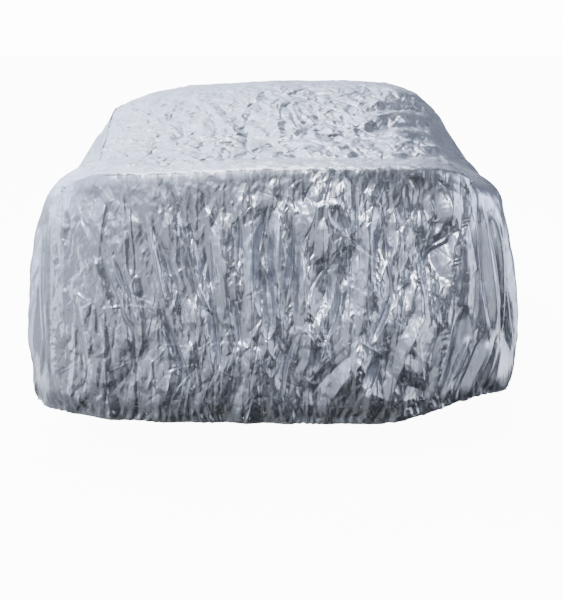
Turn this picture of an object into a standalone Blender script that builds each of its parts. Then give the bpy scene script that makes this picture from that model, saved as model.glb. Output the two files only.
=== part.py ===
"""Fitted cover of thin coated cloth, as it hangs over a low saloon: three sewn panels, 2 mm thick.

Metres, +Z up, +Y towards the front of the car, +X to the right of someone who stands behind it.
Heights in the tables are above the ground. The origin is under the top of the roof, where the car
holds the cover up.
"""

import bmesh
import bpy
import numpy as np

# Driving dimensions
CLOTH = 0.002
SEAM_GAP = 0.0006
SEAM_BAND = 0.014
CORNER_CLEARANCE = 0.005
ROOF_HEIGHT = 1.374
REAR_END = -2.105
FRONT_END = 2.290
REAR_CORNER = 0.42
FRONT_CORNER = 0.50
CORNER_POWER = 3.4

# Cells of the grids. CORNER_TURNS: how far round an end corner each of its columns stands, 1 at the
# seam of the end face and 0 where the flank starts. The first cell beside a seam is narrow.
CELLS_UP = 17
CELLS_FLANK = 24
CELLS_ACROSS = 36
CURVE_STEPS = 12
CORNER_TURNS = (1.0, 0.94, 0.80, 0.62, 0.42, 0.20)
CORNER_SPREAD = 1.2

# Upper line of the cover, a row for each section across the car. middle: height at the middle.
# square: how square its shoulders are. sag: how much lower the left half lies. right and left: how
# far the seams are from the middle. right_drop and left_drop: how far they lie below it.
UPPER_COLUMNS = "place middle square sag right right_drop left left_drop"
UPPER = [
    (-2.062, 1.108, 14.0, 0.034, 0.713, 0.046, 0.764, 0.078),
    (-2.040, 1.117, 12.0, 0.034, 0.706, 0.046, 0.755, 0.078),
    (-1.950, 1.137, 10.0, 0.034, 0.680, 0.048, 0.704, 0.080),
    (-1.700, 1.160, 7.00, 0.034, 0.666, 0.055, 0.690, 0.076),
    (-1.300, 1.226, 6.00, 0.040, 0.654, 0.070, 0.696, 0.080),
    (-0.900, 1.310, 6.50, 0.050, 0.664, 0.090, 0.712, 0.090),
    (-0.550, 1.360, 7.50, 0.058, 0.720, 0.108, 0.720, 0.100),
    (0.000, 1.374, 7.50, 0.058, 0.728, 0.112, 0.720, 0.110),
    (0.450, 1.360, 6.00, 0.030, 0.724, 0.110, 0.720, 0.110),
    (0.700, 1.300, 4.50, 0.012, 0.722, 0.100, 0.722, 0.100),
    (1.150, 1.040, 4.00, 0.000, 0.730, 0.062, 0.730, 0.062),
    (1.350, 0.975, 5.00, 0.000, 0.730, 0.050, 0.730, 0.050),
    (1.800, 0.925, 5.00, 0.000, 0.725, 0.048, 0.725, 0.048),
    (2.120, 0.860, 6.00, 0.000, 0.705, 0.050, 0.705, 0.050),
    (2.225, 0.790, 8.00, 0.000, 0.690, 0.040, 0.690, 0.040),
]

# Hanging part, a row for each level from the hem up to the shoulder. share: of the way up. half: half
# width. rear_in and front_in: how far the cloth lies inside REAR_END and FRONT_END. rear_right,
# rear_left and front: how far from the middle the seams of the end faces are.
LEVEL_COLUMNS = "share half rear_in front_in rear_right rear_left front"
LEVELS = [
    (0.000, 0.900, 0.070, 0.085, 0.560, 0.755, 0.600),
    (0.110, 0.914, 0.028, 0.040, 0.590, 0.785, 0.625),
    (0.270, 0.920, 0.008, 0.012, 0.618, 0.808, 0.655),
    (0.455, 0.914, 0.000, 0.000, 0.628, 0.818, 0.675),
    (0.690, 0.898, 0.008, 0.010, 0.658, 0.810, 0.685),
    (0.875, 0.880, 0.018, 0.025, 0.700, 0.800, 0.690),
    (1.000, 0.850, 0.030, 0.045, 0.716, 0.786, 0.690),
]
SHOULDER_HEIGHT = 0.990
SHOULDER_DROP = 0.034
LEDGE_HALF = 0.87
SAG_EDGE = 6

# Hem heights. round: how far round from the rear seam (0) to the front seam (1).
HEM_COLUMNS = "round right left"
HEM = [
    (0.00, 0.200, 0.194),
    (0.10, 0.262, 0.202),
    (0.22, 0.240, 0.198),
    (0.45, 0.195, 0.180),
    (0.75, 0.205, 0.190),
    (1.00, 0.200, 0.200),
]
END_HEM_COLUMNS = "across height"
REAR_HEM = [(-1.0, 0.194), (-0.78, 0.182), (0.0, 0.174), (0.70, 0.166), (1.0, 0.200)]
FRONT_HEM = [(-1.0, 0.200), (0.0, 0.194), (1.0, 0.200)]

# Folds, a row for each. The first four columns are its two ends. On the hanging part they are the
# distance round the car from the middle of the rear or front, and the height; on the upper side, x and
# the place along the car. bow: how far the fold's middle lies off its chord. width: half its breadth.
# rise: positive for a ridge, negative for a trough.
FOLD_COLUMNS = "round_start up_start round_end up_end bow width rise"
REAR_FOLDS = [
    (-0.62, 0.86, -0.49, 0.47, 0.01, 0.035, -0.012),
    (-0.57, 0.86, -0.47, 0.45, 0.02, 0.030, 0.010),
    (-0.70, 0.72, -0.66, 0.28, 0.00, 0.050, 0.014),
    (-0.47, 0.97, -0.26, 0.30, 0.03, 0.040, -0.016),
    (-0.40, 0.97, -0.30, 0.40, 0.02, 0.045, 0.012),
    (-0.34, 1.02, -0.23, 0.56, 0.02, 0.045, -0.020),
    (-0.29, 0.86, -0.23, 0.52, 0.00, 0.045, 0.016),
    (-0.24, 0.94, -0.19, 0.36, -0.01, 0.040, -0.014),
    (-0.13, 0.98, -0.12, 0.42, 0.02, 0.040, -0.014),
    (-0.08, 0.95, -0.09, 0.50, 0.00, 0.050, 0.014),
    (-0.03, 1.00, -0.04, 0.45, -0.01, 0.045, -0.024),
    (0.02, 1.00, 0.00, 0.50, 0.00, 0.045, 0.018),
    (0.07, 0.96, 0.03, 0.36, 0.01, 0.045, -0.018),
    (0.13, 0.94, 0.09, 0.30, 0.01, 0.055, 0.020),
    (0.22, 0.78, 0.10, 0.48, 0.01, 0.050, -0.024),
    (0.29, 0.98, 0.20, 0.36, 0.02, 0.055, -0.020),
    (0.34, 0.96, 0.33, 0.62, 0.00, 0.050, 0.018),
    (0.39, 0.99, 0.36, 0.66, 0.00, 0.045, -0.018),
    (0.47, 1.00, 0.30, 0.60, 0.03, 0.055, 0.016),
    (0.56, 0.94, 0.40, 0.52, -0.02, 0.050, -0.016),
    (0.63, 1.03, 0.64, 0.88, 0.00, 0.050, 0.022),
    (0.62, 0.90, 0.52, 0.70, 0.00, 0.050, -0.020),
    (0.60, 0.66, 0.42, 0.24, -0.03, 0.065, 0.026),
    (0.42, 0.50, 0.20, 0.25, -0.03, 0.060, 0.024),
    (0.30, 0.46, 0.12, 0.24, -0.02, 0.050, -0.020),
    (0.60, 0.54, 0.57, 0.30, -0.01, 0.055, -0.024),
    (-0.10, 0.40, -0.16, 0.22, 0.00, 0.045, -0.014),
    (-0.36, 0.42, -0.40, 0.24, 0.00, 0.050, 0.014),
]
FLANK_FOLDS = [
    (0.83, 0.98, 0.76, 0.30, 0.02, 0.075, 0.018),
    (0.92, 0.98, 0.86, 0.30, 0.02, 0.075, -0.018),
    (1.03, 0.97, 0.97, 0.30, 0.02, 0.085, 0.018),
    (1.16, 0.98, 1.12, 0.28, 0.01, 0.110, -0.020),
    (1.34, 1.02, 1.27, 0.26, 0.01, 0.120, 0.022),
    (1.52, 1.06, 1.44, 0.28, 0.02, 0.110, -0.024),
    (1.72, 1.10, 1.58, 0.24, 0.02, 0.130, 0.026),
    (1.98, 1.18, 1.80, 0.24, 0.03, 0.150, -0.030),
    (2.16, 1.20, 2.06, 0.22, 0.01, 0.130, 0.024),
    (2.36, 1.22, 2.34, 0.24, 0.00, 0.150, -0.032),
    (2.56, 1.14, 2.62, 0.22, -0.02, 0.140, 0.026),
    (2.84, 1.22, 2.80, 0.24, 0.02, 0.160, -0.030),
    (3.06, 1.20, 3.14, 0.22, 0.00, 0.140, 0.028),
    (3.26, 1.16, 3.36, 0.24, -0.03, 0.140, -0.032),
    (3.42, 1.02, 3.66, 0.24, -0.04, 0.150, 0.030),
    (3.66, 0.98, 3.88, 0.26, -0.02, 0.130, -0.028),
    (3.92, 0.92, 4.06, 0.22, -0.01, 0.120, 0.024),
    (4.14, 0.88, 4.24, 0.24, 0.00, 0.120, -0.024),
    (4.36, 0.86, 4.42, 0.22, 0.00, 0.110, 0.022),
    (4.58, 0.84, 4.62, 0.24, 0.00, 0.110, -0.020),
    (4.78, 0.80, 4.80, 0.24, 0.00, 0.095, 0.018),
    (4.94, 0.78, 4.96, 0.24, 0.00, 0.085, -0.016),
]
FRONT_FOLDS = [
    (-0.52, 0.74, -0.56, 0.24, 0.00, 0.060, 0.016),
    (-0.38, 0.76, -0.40, 0.24, 0.01, 0.060, -0.018),
    (-0.22, 0.76, -0.20, 0.24, 0.00, 0.065, 0.018),
    (-0.06, 0.74, -0.05, 0.24, 0.01, 0.060, -0.016),
    (0.11, 0.76, 0.12, 0.24, -0.01, 0.065, 0.018),
    (0.28, 0.74, 0.31, 0.24, -0.01, 0.060, -0.018),
    (0.45, 0.74, 0.50, 0.24, -0.02, 0.060, 0.016),
]

UPPER_FOLDS = [
    (0.70, -0.70, 0.28, -1.18, 0.03, 0.060, -0.018),
    (0.70, -0.86, 0.30, -1.30, 0.02, 0.050, 0.016),
    (0.70, -1.00, 0.16, -1.52, 0.03, 0.060, -0.022),
    (0.70, -1.14, 0.34, -1.52, 0.02, 0.050, 0.016),
    (0.70, -1.30, 0.50, -1.48, 0.00, 0.050, -0.014),
    (0.66, -0.52, 0.42, -0.80, 0.00, 0.070, 0.018),
    (-0.71, -0.86, -0.56, -1.06, 0.02, 0.045, -0.020),
    (-0.72, -1.40, -0.58, -1.46, 0.02, 0.045, -0.018),
    (-0.06, -0.60, -0.02, -0.98, 0.00, 0.060, -0.012),
    (0.02, -1.00, 0.07, -1.34, 0.02, 0.060, 0.012),
    (-0.30, -0.90, -0.20, -1.50, 0.04, 0.070, 0.010),
    (-0.40, 0.75, -0.52, 1.30, 0.00, 0.080, -0.018),
    (0.00, 0.80, -0.04, 1.32, 0.00, 0.080, 0.016),
    (0.38, 0.78, 0.46, 1.34, 0.00, 0.080, -0.018),
    (-0.62, 1.15, 0.00, 1.40, 0.05, 0.080, -0.020),
    (0.64, 1.12, 0.05, 1.42, 0.05, 0.080, -0.020),
    (-0.30, 1.50, -0.42, 2.10, 0.00, 0.080, 0.014),
    (0.16, 1.45, 0.24, 2.12, 0.00, 0.080, -0.014),
]

# Small gathers that the elastic draws into the hem, wider in some places than in others
GATHER_PITCH = 0.165
GATHER_DRIFT = 1.7
GATHER_DRIFT_RATE = 4.1
GATHER_HEIGHT = 0.008
GATHER_REACH = 0.13

# How the folds die away: over this share of their length at both ends, and over this distance from
# the rear lip, the front edge and the long seams. LIP_END is where the smooth rear lip ends.
# The left flank's folds stand LEFT_SHIFT further on than the right flank's and go the other way.
FOLD_TAPER = 0.25
EDGE_FADE = 0.09
LIP_END = -1.96
LEFT_SHIFT = 0.11

# At the upper corners of the end faces, where three edges meet: row and column of a point of the
# side panel, row and column of the point that it moves towards, and its share of CORNER_CLEARANCE.
CORNER_PULLS = [
    (-1, 0, -2, 1, 1.0),
    (-2, 0, -2, 1, 0.6),
    (-3, 0, -3, 1, 0.4),
    (-1, 1, -2, 1, 0.5),
]

SILVER = (0.42, 0.44, 0.48, 1.0)
SILVER_ROUGHNESS = 0.38
SILVER_METALLIC = 0.55


def column(rows, columns, name):
    """One named column of a table."""
    return np.array([row[columns.split().index(name)] for row in rows])


def read(places, values, at):
    """A curve through a table's values that never swings past them."""
    places, values, at = (np.asarray(item, float) for item in (places, values, at))
    run = np.diff(places)
    slope = np.diff(values) / run
    tangent = np.zeros(len(values))
    both = slope[:-1] * slope[1:]
    steady = both > 0
    tangent[1:-1][steady] = 2 * both[steady] / (slope[:-1] + slope[1:])[steady]
    tangent[0], tangent[-1] = slope[0], slope[-1]
    cell = np.clip(np.searchsorted(places, at) - 1, 0, len(run) - 1)
    step = run[cell]
    t = np.clip((at - places[cell]) / step, 0, 1)
    start = (1 + 2 * t) * (1 - t) ** 2 * values[cell] + t * (1 - t) ** 2 * step * tangent[cell]
    end = t * t * (3 - 2 * t) * values[cell + 1] + t * t * (t - 1) * step * tangent[cell + 1]
    return start + end


def read_table(table, columns, name, at):
    """One named column of a table, read along its first column."""
    return read(column(table, columns, columns.split()[0]), column(table, columns, name), at)


def upper(name, place):
    return read_table(UPPER, UPPER_COLUMNS, name, place)


def ease(value):
    """0 to 1, with soft ends."""
    value = np.clip(value, 0, 1)
    return value * value * (3 - 2 * value)


def inside_end(x, half, depth):
    """How far in from the corner's start an end face lies, at x."""
    return depth * (1 - np.minimum(np.abs(x) / half, 1) ** CORNER_POWER) ** (1 / CORNER_POWER)


def even_curve(points, cells):
    """A smooth curve through points, cut into equal cells and a narrow last one."""
    steps = np.linalg.norm(np.diff(points, axis=0), axis=1)
    along = np.concatenate([[0], np.cumsum(steps)])
    fine = np.linspace(0, along[-1], CURVE_STEPS * cells + 1)
    curve = np.stack([read(along, points[:, axis], fine) for axis in range(3)], axis=1)
    lengths = np.concatenate([[0], np.cumsum(np.linalg.norm(np.diff(curve, axis=0), axis=1))])
    wanted = np.append(np.linspace(0, lengths[-1] - SEAM_BAND, cells), lengths[-1])
    return np.stack([np.interp(wanted, lengths, curve[:, axis]) for axis in range(3)], axis=1)


REAR_START = REAR_END + REAR_CORNER
FRONT_START = FRONT_END - FRONT_CORNER
FIRST_PLACE = UPPER[0][0]
LAST_PLACE = UPPER[-1][0]


def stations():
    """Sections along the car: the place of each on the upper line, and how far round a corner it is."""
    turns = np.array(CORNER_TURNS)
    flank = np.linspace(REAR_START, FRONT_START, CELLS_FLANK + 1)
    rear = FIRST_PLACE + (REAR_START - FIRST_PLACE) * (1 - turns) ** CORNER_SPREAD
    front = LAST_PLACE - (LAST_PLACE - FRONT_START) * (1 - turns) ** CORNER_SPREAD
    place = np.concatenate([rear, flank, front[::-1]])
    turn = np.concatenate([-turns, np.zeros(len(flank)), turns[::-1]])
    return list(zip(place, turn))


def levels(side):
    """The levels as dictionaries, with the rear seam of one side."""
    found = []
    for row in LEVELS:
        level = dict(zip(LEVEL_COLUMNS.split(), row))
        level["rear"] = level["rear_" + side]
        found.append(level)
    return found


def round_corner(level, turn, place):
    """x and y of one level of a flank, turn being -1 at the rear seam and 1 at the front one."""
    if turn == 0:
        return level["half"], place
    seam = level["front"] if turn > 0 else level["rear"]
    angle = abs(turn) * np.arccos((seam / level["half"]) ** (CORNER_POWER / 2))
    x = level["half"] * np.cos(angle) ** (2 / CORNER_POWER)
    out = np.sin(angle) ** (2 / CORNER_POWER)
    if turn > 0:
        return x, FRONT_START + (FRONT_CORNER - level["front_in"]) * out
    return x, REAR_START - (REAR_CORNER - level["rear_in"]) * out


def drawn_in(place, turn, x):
    """A place on the upper line, drawn in towards the sides at the rear lip and the front edge."""
    short = 1 - inside_end(x, LEDGE_HALF, 1)
    if turn > 0:
        return place - short * (LAST_PLACE - FRONT_START) * turn
    return place - short * (REAR_START - FIRST_PLACE) * turn


def upper_height(share, place):
    """Height of the upper side, share being -1 at the left seam and 1 at the right one."""
    share = np.asarray(share, float)
    drop = np.where(share > 0, upper("right_drop", place), upper("left_drop", place))
    leftness = np.maximum(-share, 0)
    sag = upper("sag", place) * leftness * (1 - leftness**SAG_EDGE)
    return upper("middle", place) - sag - drop * np.abs(share) ** upper("square", place)


def side_panel(side):
    """Points of one side panel, from the hem up and from the rear to the front."""
    sign = 1 if side == "right" else -1
    sections = stations()
    columns = []
    for index, (place, turn) in enumerate(sections):
        seam_x = upper(side, place)
        seam_z = float(upper_height(sign, place))
        hem = read_table(HEM, HEM_COLUMNS, side, index / (len(sections) - 1))
        shoulder = min(SHOULDER_HEIGHT, seam_z - SHOULDER_DROP)
        points = []
        for level in levels(side):
            x, y = round_corner(level, turn, place)
            points.append((sign * x, y, hem + level["share"] * (shoulder - hem)))
        points.append((sign * seam_x, drawn_in(place, turn, seam_x), seam_z))
        columns.append(even_curve(np.array(points), CELLS_UP))
    return np.stack(columns, axis=1)


def across_shares():
    """Places across the centre panel from -1 to 1, with a narrow cell beside each seam."""
    edge = 1 - SEAM_BAND / UPPER[0][4]
    return np.concatenate([[-1], np.linspace(-edge, edge, CELLS_ACROSS - 1), [1]])


def seam_to_seam(share, left, right):
    return (right - left) / 2 + share * (right + left) / 2


def end_face(turn):
    """Points of the centre panel on the rear (turn -1) or front face (turn 1), from the hem up."""
    place = LAST_PLACE if turn > 0 else FIRST_PLACE
    columns = []
    for share in across_shares():
        side = "right" if share > 0 else "left"
        shoulder = min(SHOULDER_HEIGHT, upper_height(np.sign(share), place) - SHOULDER_DROP)
        table = FRONT_HEM if turn > 0 else REAR_HEM
        hem = read_table(table, END_HEM_COLUMNS, "height", share)
        points = []
        for right, left in zip(levels("right"), levels("left")):
            height = hem + right["share"] * (shoulder - hem)
            if turn > 0:
                x = share * right["front"]
                reach = inside_end(x, right["half"], FRONT_CORNER - right["front_in"])
                points.append((x, FRONT_START + reach, height))
            else:
                x = seam_to_seam(share, left["rear"], right["rear"])
                reach = inside_end(x, right["half"], REAR_CORNER - right["rear_in"])
                points.append((x, REAR_START - reach, height))
        x = seam_to_seam(share, upper("left", place), upper("right", place))
        points.append((x, drawn_in(place, turn, x), float(upper_height(share, place))))
        columns.append(even_curve(np.array(points), CELLS_UP))
    return np.stack(columns, axis=1)


def centre_panel():
    """Points of the centre panel: up the rear face, along the upper side and down the front face."""
    shares = across_shares()
    rows = list(end_face(-1))
    for place, turn in stations()[1:-1]:
        x = seam_to_seam(shares, upper("left", place), upper("right", place))
        rows.append(np.stack([x, drawn_in(place, turn, x), upper_height(shares, place)], axis=1))
    rows += list(end_face(1))[::-1]
    return np.stack(rows)


def outward(points):
    """Unit normals of a grid of points; those of the left side panel, which runs the other way, point in."""
    down_rows = np.gradient(points, axis=0)
    along_columns = np.gradient(points, axis=1)
    normal = np.cross(along_columns, down_rows)
    return normal / np.linalg.norm(normal, axis=2, keepdims=True)


def folds(table, a, b):
    """How far out the folds of a table push the cloth at places a round the car and b up it."""
    out = np.zeros(a.shape)
    for row in table:
        fold = dict(zip(FOLD_COLUMNS.split(), row))
        run = fold["round_end"] - fold["round_start"]
        climb = fold["up_end"] - fold["up_start"]
        length = np.hypot(run, climb)
        a_from, b_from = a - fold["round_start"], b - fold["up_start"]
        along = (a_from * run + b_from * climb) / length**2
        aside = (b_from * run - a_from * climb) / length - 4 * fold["bow"] * along * (1 - along)
        taper = ease(along / FOLD_TAPER) * ease((1 - along) / FOLD_TAPER)
        out += fold["rise"] * ease(1 - np.abs(aside) / fold["width"]) * taper
    return out


def moved_on(table, shift):
    """A fold table moved round the car, with its ridges turned into troughs."""
    moved = []
    for row in table:
        start, up_start, end, up_end, bow, width, rise = row
        moved.append((start + shift, up_start, end + shift, up_end, bow, width, -rise))
    return moved


def gathers(round_car, above_hem):
    """The small pleats that the elastic draws into the hem."""
    drift = GATHER_DRIFT * np.sin(GATHER_DRIFT_RATE * round_car)
    wave = np.sin(2 * np.pi * round_car / GATHER_PITCH + drift)
    return GATHER_HEIGHT * wave * ease(1 - above_hem / GATHER_REACH)


def centre_rise(points):
    """How far out the folds lie on the centre panel."""
    x, place, height = np.moveaxis(points, 2, 0)
    rear = slice(0, CELLS_UP + 1)
    front = slice(-CELLS_UP - 1, None)
    rise = np.zeros(x.shape)
    top = slice(CELLS_UP + 1, -CELLS_UP - 1)
    rise[top] = folds(UPPER_FOLDS, x[top], place[top])
    rise[top] *= ease((place[top] - LIP_END) / EDGE_FADE)
    for rows, table in ((rear, REAR_FOLDS), (front, FRONT_FOLDS)):
        hem = height[rows].min(axis=0)
        below_edge = height[rows].max(axis=0) - height[rows]
        rise[rows] = folds(table, x[rows], height[rows]) * ease(below_edge / EDGE_FADE)
        rise[rows] += gathers(x[rows], height[rows] - hem)
    return rise


def side_rise(points, side):
    """How far out the folds lie on a side panel."""
    x, place, height = np.moveaxis(points, 2, 0)
    steps = np.hypot(np.diff(x, axis=1), np.diff(place, axis=1))
    first = np.abs(x[:, :1])
    round_car = np.concatenate([first, first + np.cumsum(steps, axis=1)], axis=1)
    table = FLANK_FOLDS if side == "right" else moved_on(FLANK_FOLDS, LEFT_SHIFT)
    below_seam = height[-1:] - height
    rise = folds(table, round_car, height) * ease(below_seam / EDGE_FADE)
    return rise + gathers(round_car, height - height[:1])


def seams(side):
    """The three stretches of one long seam, each as the side panel's and the centre panel's points.

    A stretch names the points on the seam and those beside it: up the rear face, along the upper
    side, and down the front face.
    """
    all_rows = slice(None)
    edge, beside = (0, 1) if side == "left" else (-1, -2)
    rear, top, front = slice(0, CELLS_UP), slice(CELLS_UP, -CELLS_UP), slice(-CELLS_UP, None)
    upward, downward = slice(0, -1), slice(-2, None, -1)
    return [
        ((upward, 0), (upward, 1), (rear, edge), (rear, beside)),
        ((-1, all_rows), (-2, all_rows), (top, edge), (top, beside)),
        ((downward, -1), (downward, -2), (front, edge), (front, beside)),
    ]


def unit(vectors):
    return vectors / np.linalg.norm(vectors, axis=-1, keepdims=True)


def shapes():
    """Points of the three panels with their folds, and a gap between them at each seam."""
    centre = centre_panel()
    points = {"centre": centre, "left": side_panel("left"), "right": side_panel("right")}
    out = {name: outward(grid) for name, grid in points.items()}
    out["left"] = -out["left"]
    rise = {side: side_rise(points[side], side) for side in ("left", "right")}
    rise["centre"] = centre_rise(centre)
    for side in ("left", "right"):
        for there, _, here, _ in seams(side):
            out[side][there] = out["centre"][here] = unit(out[side][there] + out["centre"][here])
            both = (rise[side][there] + rise["centre"][here]) / 2
            rise[side][there] = rise["centre"][here] = both
    points = {name: points[name] + out[name] * rise[name][..., None] for name in points}
    for side in ("left", "right"):
        for there, inner, here, inside in seams(side):
            lay_flat(points[side], there, inner, points["centre"], here, inside)
    for side in ("left", "right"):
        for there, inner, here, inside in seams(side):
            pull_back(points[side], there, inner)
            pull_back(points["centre"], here, inside)
        ease_corner(points[side])
        ease_corner(points[side][:, ::-1])
    return points


def ease_corner(flank):
    """Cuts a side panel a little short where its seam turns from an end face to the upper side."""
    for row, place, towards_row, towards_place, share in CORNER_PULLS:
        pull = unit(flank[towards_row, towards_place] - flank[row, place])
        flank[row, place] += pull * CORNER_CLEARANCE * share


def lay_flat(flank, there, inner, centre, here, inside):
    """Lays the narrow cells on both sides of a seam in one plane, so that their edges are parallel."""
    seam = centre[here]
    across = unit(centre[inside] - flank[inner])
    centre[inside] = seam + across * np.linalg.norm(centre[inside] - seam, axis=-1, keepdims=True)
    flank[inner] = seam - across * np.linalg.norm(flank[inner] - seam, axis=-1, keepdims=True)


def pull_back(grid, edge, inner):
    """Moves the points of an edge half a seam gap towards those beside it."""
    grid[edge] += unit(grid[inner] - grid[edge]) * SEAM_GAP / 2


def cloth_material(name):
    material = bpy.data.materials.new(name)
    material.use_nodes = True
    shader = material.node_tree.nodes["Principled BSDF"]
    shader.inputs["Base Color"].default_value = SILVER
    shader.inputs["Roughness"].default_value = SILVER_ROUGHNESS
    shader.inputs["Metallic"].default_value = SILVER_METALLIC
    return material


def panel(name, points, collection):
    """A sheet: a grid whose points move to the panel's shape, thickened evenly to both faces."""
    rows, columns = points.shape[0] - 1, points.shape[1] - 1
    mesh = bpy.data.meshes.new(name)
    grid = bmesh.new()
    bmesh.ops.create_grid(grid, x_segments=columns, y_segments=rows, size=0.5)
    for vert in grid.verts:
        row, place = round((vert.co.y + 0.5) * rows), round((vert.co.x + 0.5) * columns)
        vert.co = points[row, place]
    grid.to_mesh(mesh)
    grid.free()
    mesh.shade_smooth()
    mesh.materials.append(cloth_material(name + "_cloth"))
    sheet = bpy.data.objects.new(name, mesh)
    collection.objects.link(sheet)
    solid = sheet.modifiers.new("Cloth thickness", "SOLIDIFY")
    solid.thickness = CLOTH
    solid.offset = 0.0
    return sheet


def main():
    for thing in list(bpy.data.objects):
        bpy.data.objects.remove(thing)
    collection = bpy.data.collections.new("Car cover")
    bpy.context.scene.collection.children.link(collection)
    points = shapes()
    mount = np.array([0, 0, ROOF_HEIGHT - CLOTH / 2])
    panel("centre_panel", points["centre"] - mount, collection)
    panel("side_panel_right", points["right"] - mount, collection)
    panel("side_panel_left", (points["left"] - mount)[:, ::-1], collection)


main()
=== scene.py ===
# %% [markdown]
# # A fitted car cover
#
# A car cover is a bag of thin polyester taffeta, coated with aluminium pigment, that is sewn from three
# panels: one that runs up the rear, over the boot, roof and bonnet and down the front, and one for each
# flank. It is a little too large everywhere, so it hangs in folds, it is crumpled from its pouch, and an
# elastic in the hem draws it in underneath.
#
# The solids from the frame have that shape with its main folds, 2 mm thick. This lesson lays a far
# finer sheet over each of them, with the creases, crumples, seams and gathers that show from a few
# steps away, and gives the cloth its silver finish.

# %% Start
import math

import bpy
import numpy as np
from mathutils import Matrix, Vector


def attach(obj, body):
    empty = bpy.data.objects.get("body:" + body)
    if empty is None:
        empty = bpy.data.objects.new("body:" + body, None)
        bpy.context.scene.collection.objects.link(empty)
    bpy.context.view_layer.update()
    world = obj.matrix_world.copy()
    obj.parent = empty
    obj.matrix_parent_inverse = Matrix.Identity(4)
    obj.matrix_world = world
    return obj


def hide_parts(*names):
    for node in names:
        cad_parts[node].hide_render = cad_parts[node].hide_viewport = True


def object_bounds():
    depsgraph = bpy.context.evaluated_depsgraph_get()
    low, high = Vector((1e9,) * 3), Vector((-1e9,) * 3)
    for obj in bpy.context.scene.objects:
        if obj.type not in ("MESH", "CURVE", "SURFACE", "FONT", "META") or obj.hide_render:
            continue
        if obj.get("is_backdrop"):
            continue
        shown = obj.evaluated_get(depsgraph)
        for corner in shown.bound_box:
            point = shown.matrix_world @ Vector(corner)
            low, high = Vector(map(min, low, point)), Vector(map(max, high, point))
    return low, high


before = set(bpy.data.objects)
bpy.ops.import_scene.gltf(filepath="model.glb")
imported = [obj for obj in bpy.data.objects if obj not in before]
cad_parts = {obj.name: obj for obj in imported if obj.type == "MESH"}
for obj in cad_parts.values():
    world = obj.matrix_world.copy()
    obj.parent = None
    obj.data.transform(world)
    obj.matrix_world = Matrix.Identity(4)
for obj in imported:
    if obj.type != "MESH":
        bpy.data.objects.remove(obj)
CAD_LOW, CAD_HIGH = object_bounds()


def metres(values):
    """A corner of a box, short enough to print."""
    return [round(float(value), 3) for value in values]


print("solids from", metres(CAD_LOW), "to", metres(CAD_HIGH))

# %% [markdown]
# ## The camera
#
# The camera stands behind the cover, a little above its roof, and looks slightly down. Its distance and
# lens follow from how much smaller the roof looks than the rear, and its height from how much of the
# slope between the boot lip and the roof shows. It is made first, because it says how fine a detail can
# show at all: one pixel is about 3.5 mm on the rear of the cover.

# %% Camera
# The picture is taller than wide, so the lens goes by its height.
IMAGE_HEIGHT = 600
FOCAL_PIXELS = 1544.0
HORIZON_PIXELS = 256  # from the middle of the picture up to eye level
GROUND = -1.373
EYE = (0.028, -7.562, GROUND + 1.55)
PITCH_DOWN = math.degrees(math.atan(HORIZON_PIXELS / FOCAL_PIXELS))

camera_data = bpy.data.cameras.new("camera")
camera_data.lens = camera_data.sensor_width * FOCAL_PIXELS / IMAGE_HEIGHT
camera_data.clip_end = 200
camera = bpy.data.objects.new("camera", camera_data)
camera.location = EYE
camera.rotation_euler = (math.radians(90 - PITCH_DOWN), 0, 0)
bpy.context.scene.collection.objects.link(camera)
bpy.context.scene.camera = camera
print(f"lens {camera_data.lens:.1f} mm, pitched down {PITCH_DOWN:.1f} degrees")

# %% [markdown]
# ## The shape under the folds
#
# The cover takes its shape from below in two ways. Its upper side is a row of sections across, each with
# a height, a width to both seams and a squareness. Its hanging part is a row of levels from the hem to
# the shoulder, each a rounded rectangle seen from above. Both could be modelled by hand as a cage with a
# subdivision modifier, but then the detail that follows would have nothing to measure from. Short tables
# and a smooth curve through them give a surface that can be cut as finely as needed. They are the same
# numbers that the solids were made from, but for the lip: its ends are drawn in 3 cm sooner here, so that
# the far finer corners don't overhang. Heights are above the ground.

# %% Tables of the shape
REAR_END, FRONT_END = -2.105, 2.290
REAR_CORNER, FRONT_CORNER, CORNER_POWER = 0.42, 0.50, 3.4
SHOULDER_HEIGHT, SHOULDER_DROP = 0.990, 0.034
LEDGE_HALF = 0.84

UPPER_COLUMNS = "place middle square sag right right_drop left left_drop"
UPPER = [
    (-2.062, 1.108, 14.0, 0.034, 0.713, 0.046, 0.764, 0.078),
    (-2.040, 1.117, 12.0, 0.034, 0.706, 0.046, 0.755, 0.078),
    (-1.950, 1.137, 10.0, 0.034, 0.680, 0.048, 0.704, 0.080),
    (-1.700, 1.160, 7.00, 0.034, 0.666, 0.055, 0.690, 0.076),
    (-1.300, 1.226, 6.00, 0.040, 0.654, 0.070, 0.696, 0.080),
    (-0.900, 1.310, 6.50, 0.050, 0.664, 0.090, 0.712, 0.090),
    (-0.550, 1.360, 7.50, 0.058, 0.720, 0.108, 0.720, 0.100),
    (0.000, 1.374, 7.50, 0.058, 0.728, 0.112, 0.720, 0.110),
    (0.450, 1.360, 6.00, 0.030, 0.724, 0.110, 0.720, 0.110),
    (0.700, 1.300, 4.50, 0.012, 0.722, 0.100, 0.722, 0.100),
    (1.150, 1.040, 4.00, 0.000, 0.730, 0.062, 0.730, 0.062),
    (1.350, 0.975, 5.00, 0.000, 0.730, 0.050, 0.730, 0.050),
    (1.800, 0.925, 5.00, 0.000, 0.725, 0.048, 0.725, 0.048),
    (2.120, 0.860, 6.00, 0.000, 0.705, 0.050, 0.705, 0.050),
    (2.225, 0.790, 8.00, 0.000, 0.690, 0.040, 0.690, 0.040),
]
LEVEL_COLUMNS = "share half rear_in front_in rear_right rear_left front"
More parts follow.
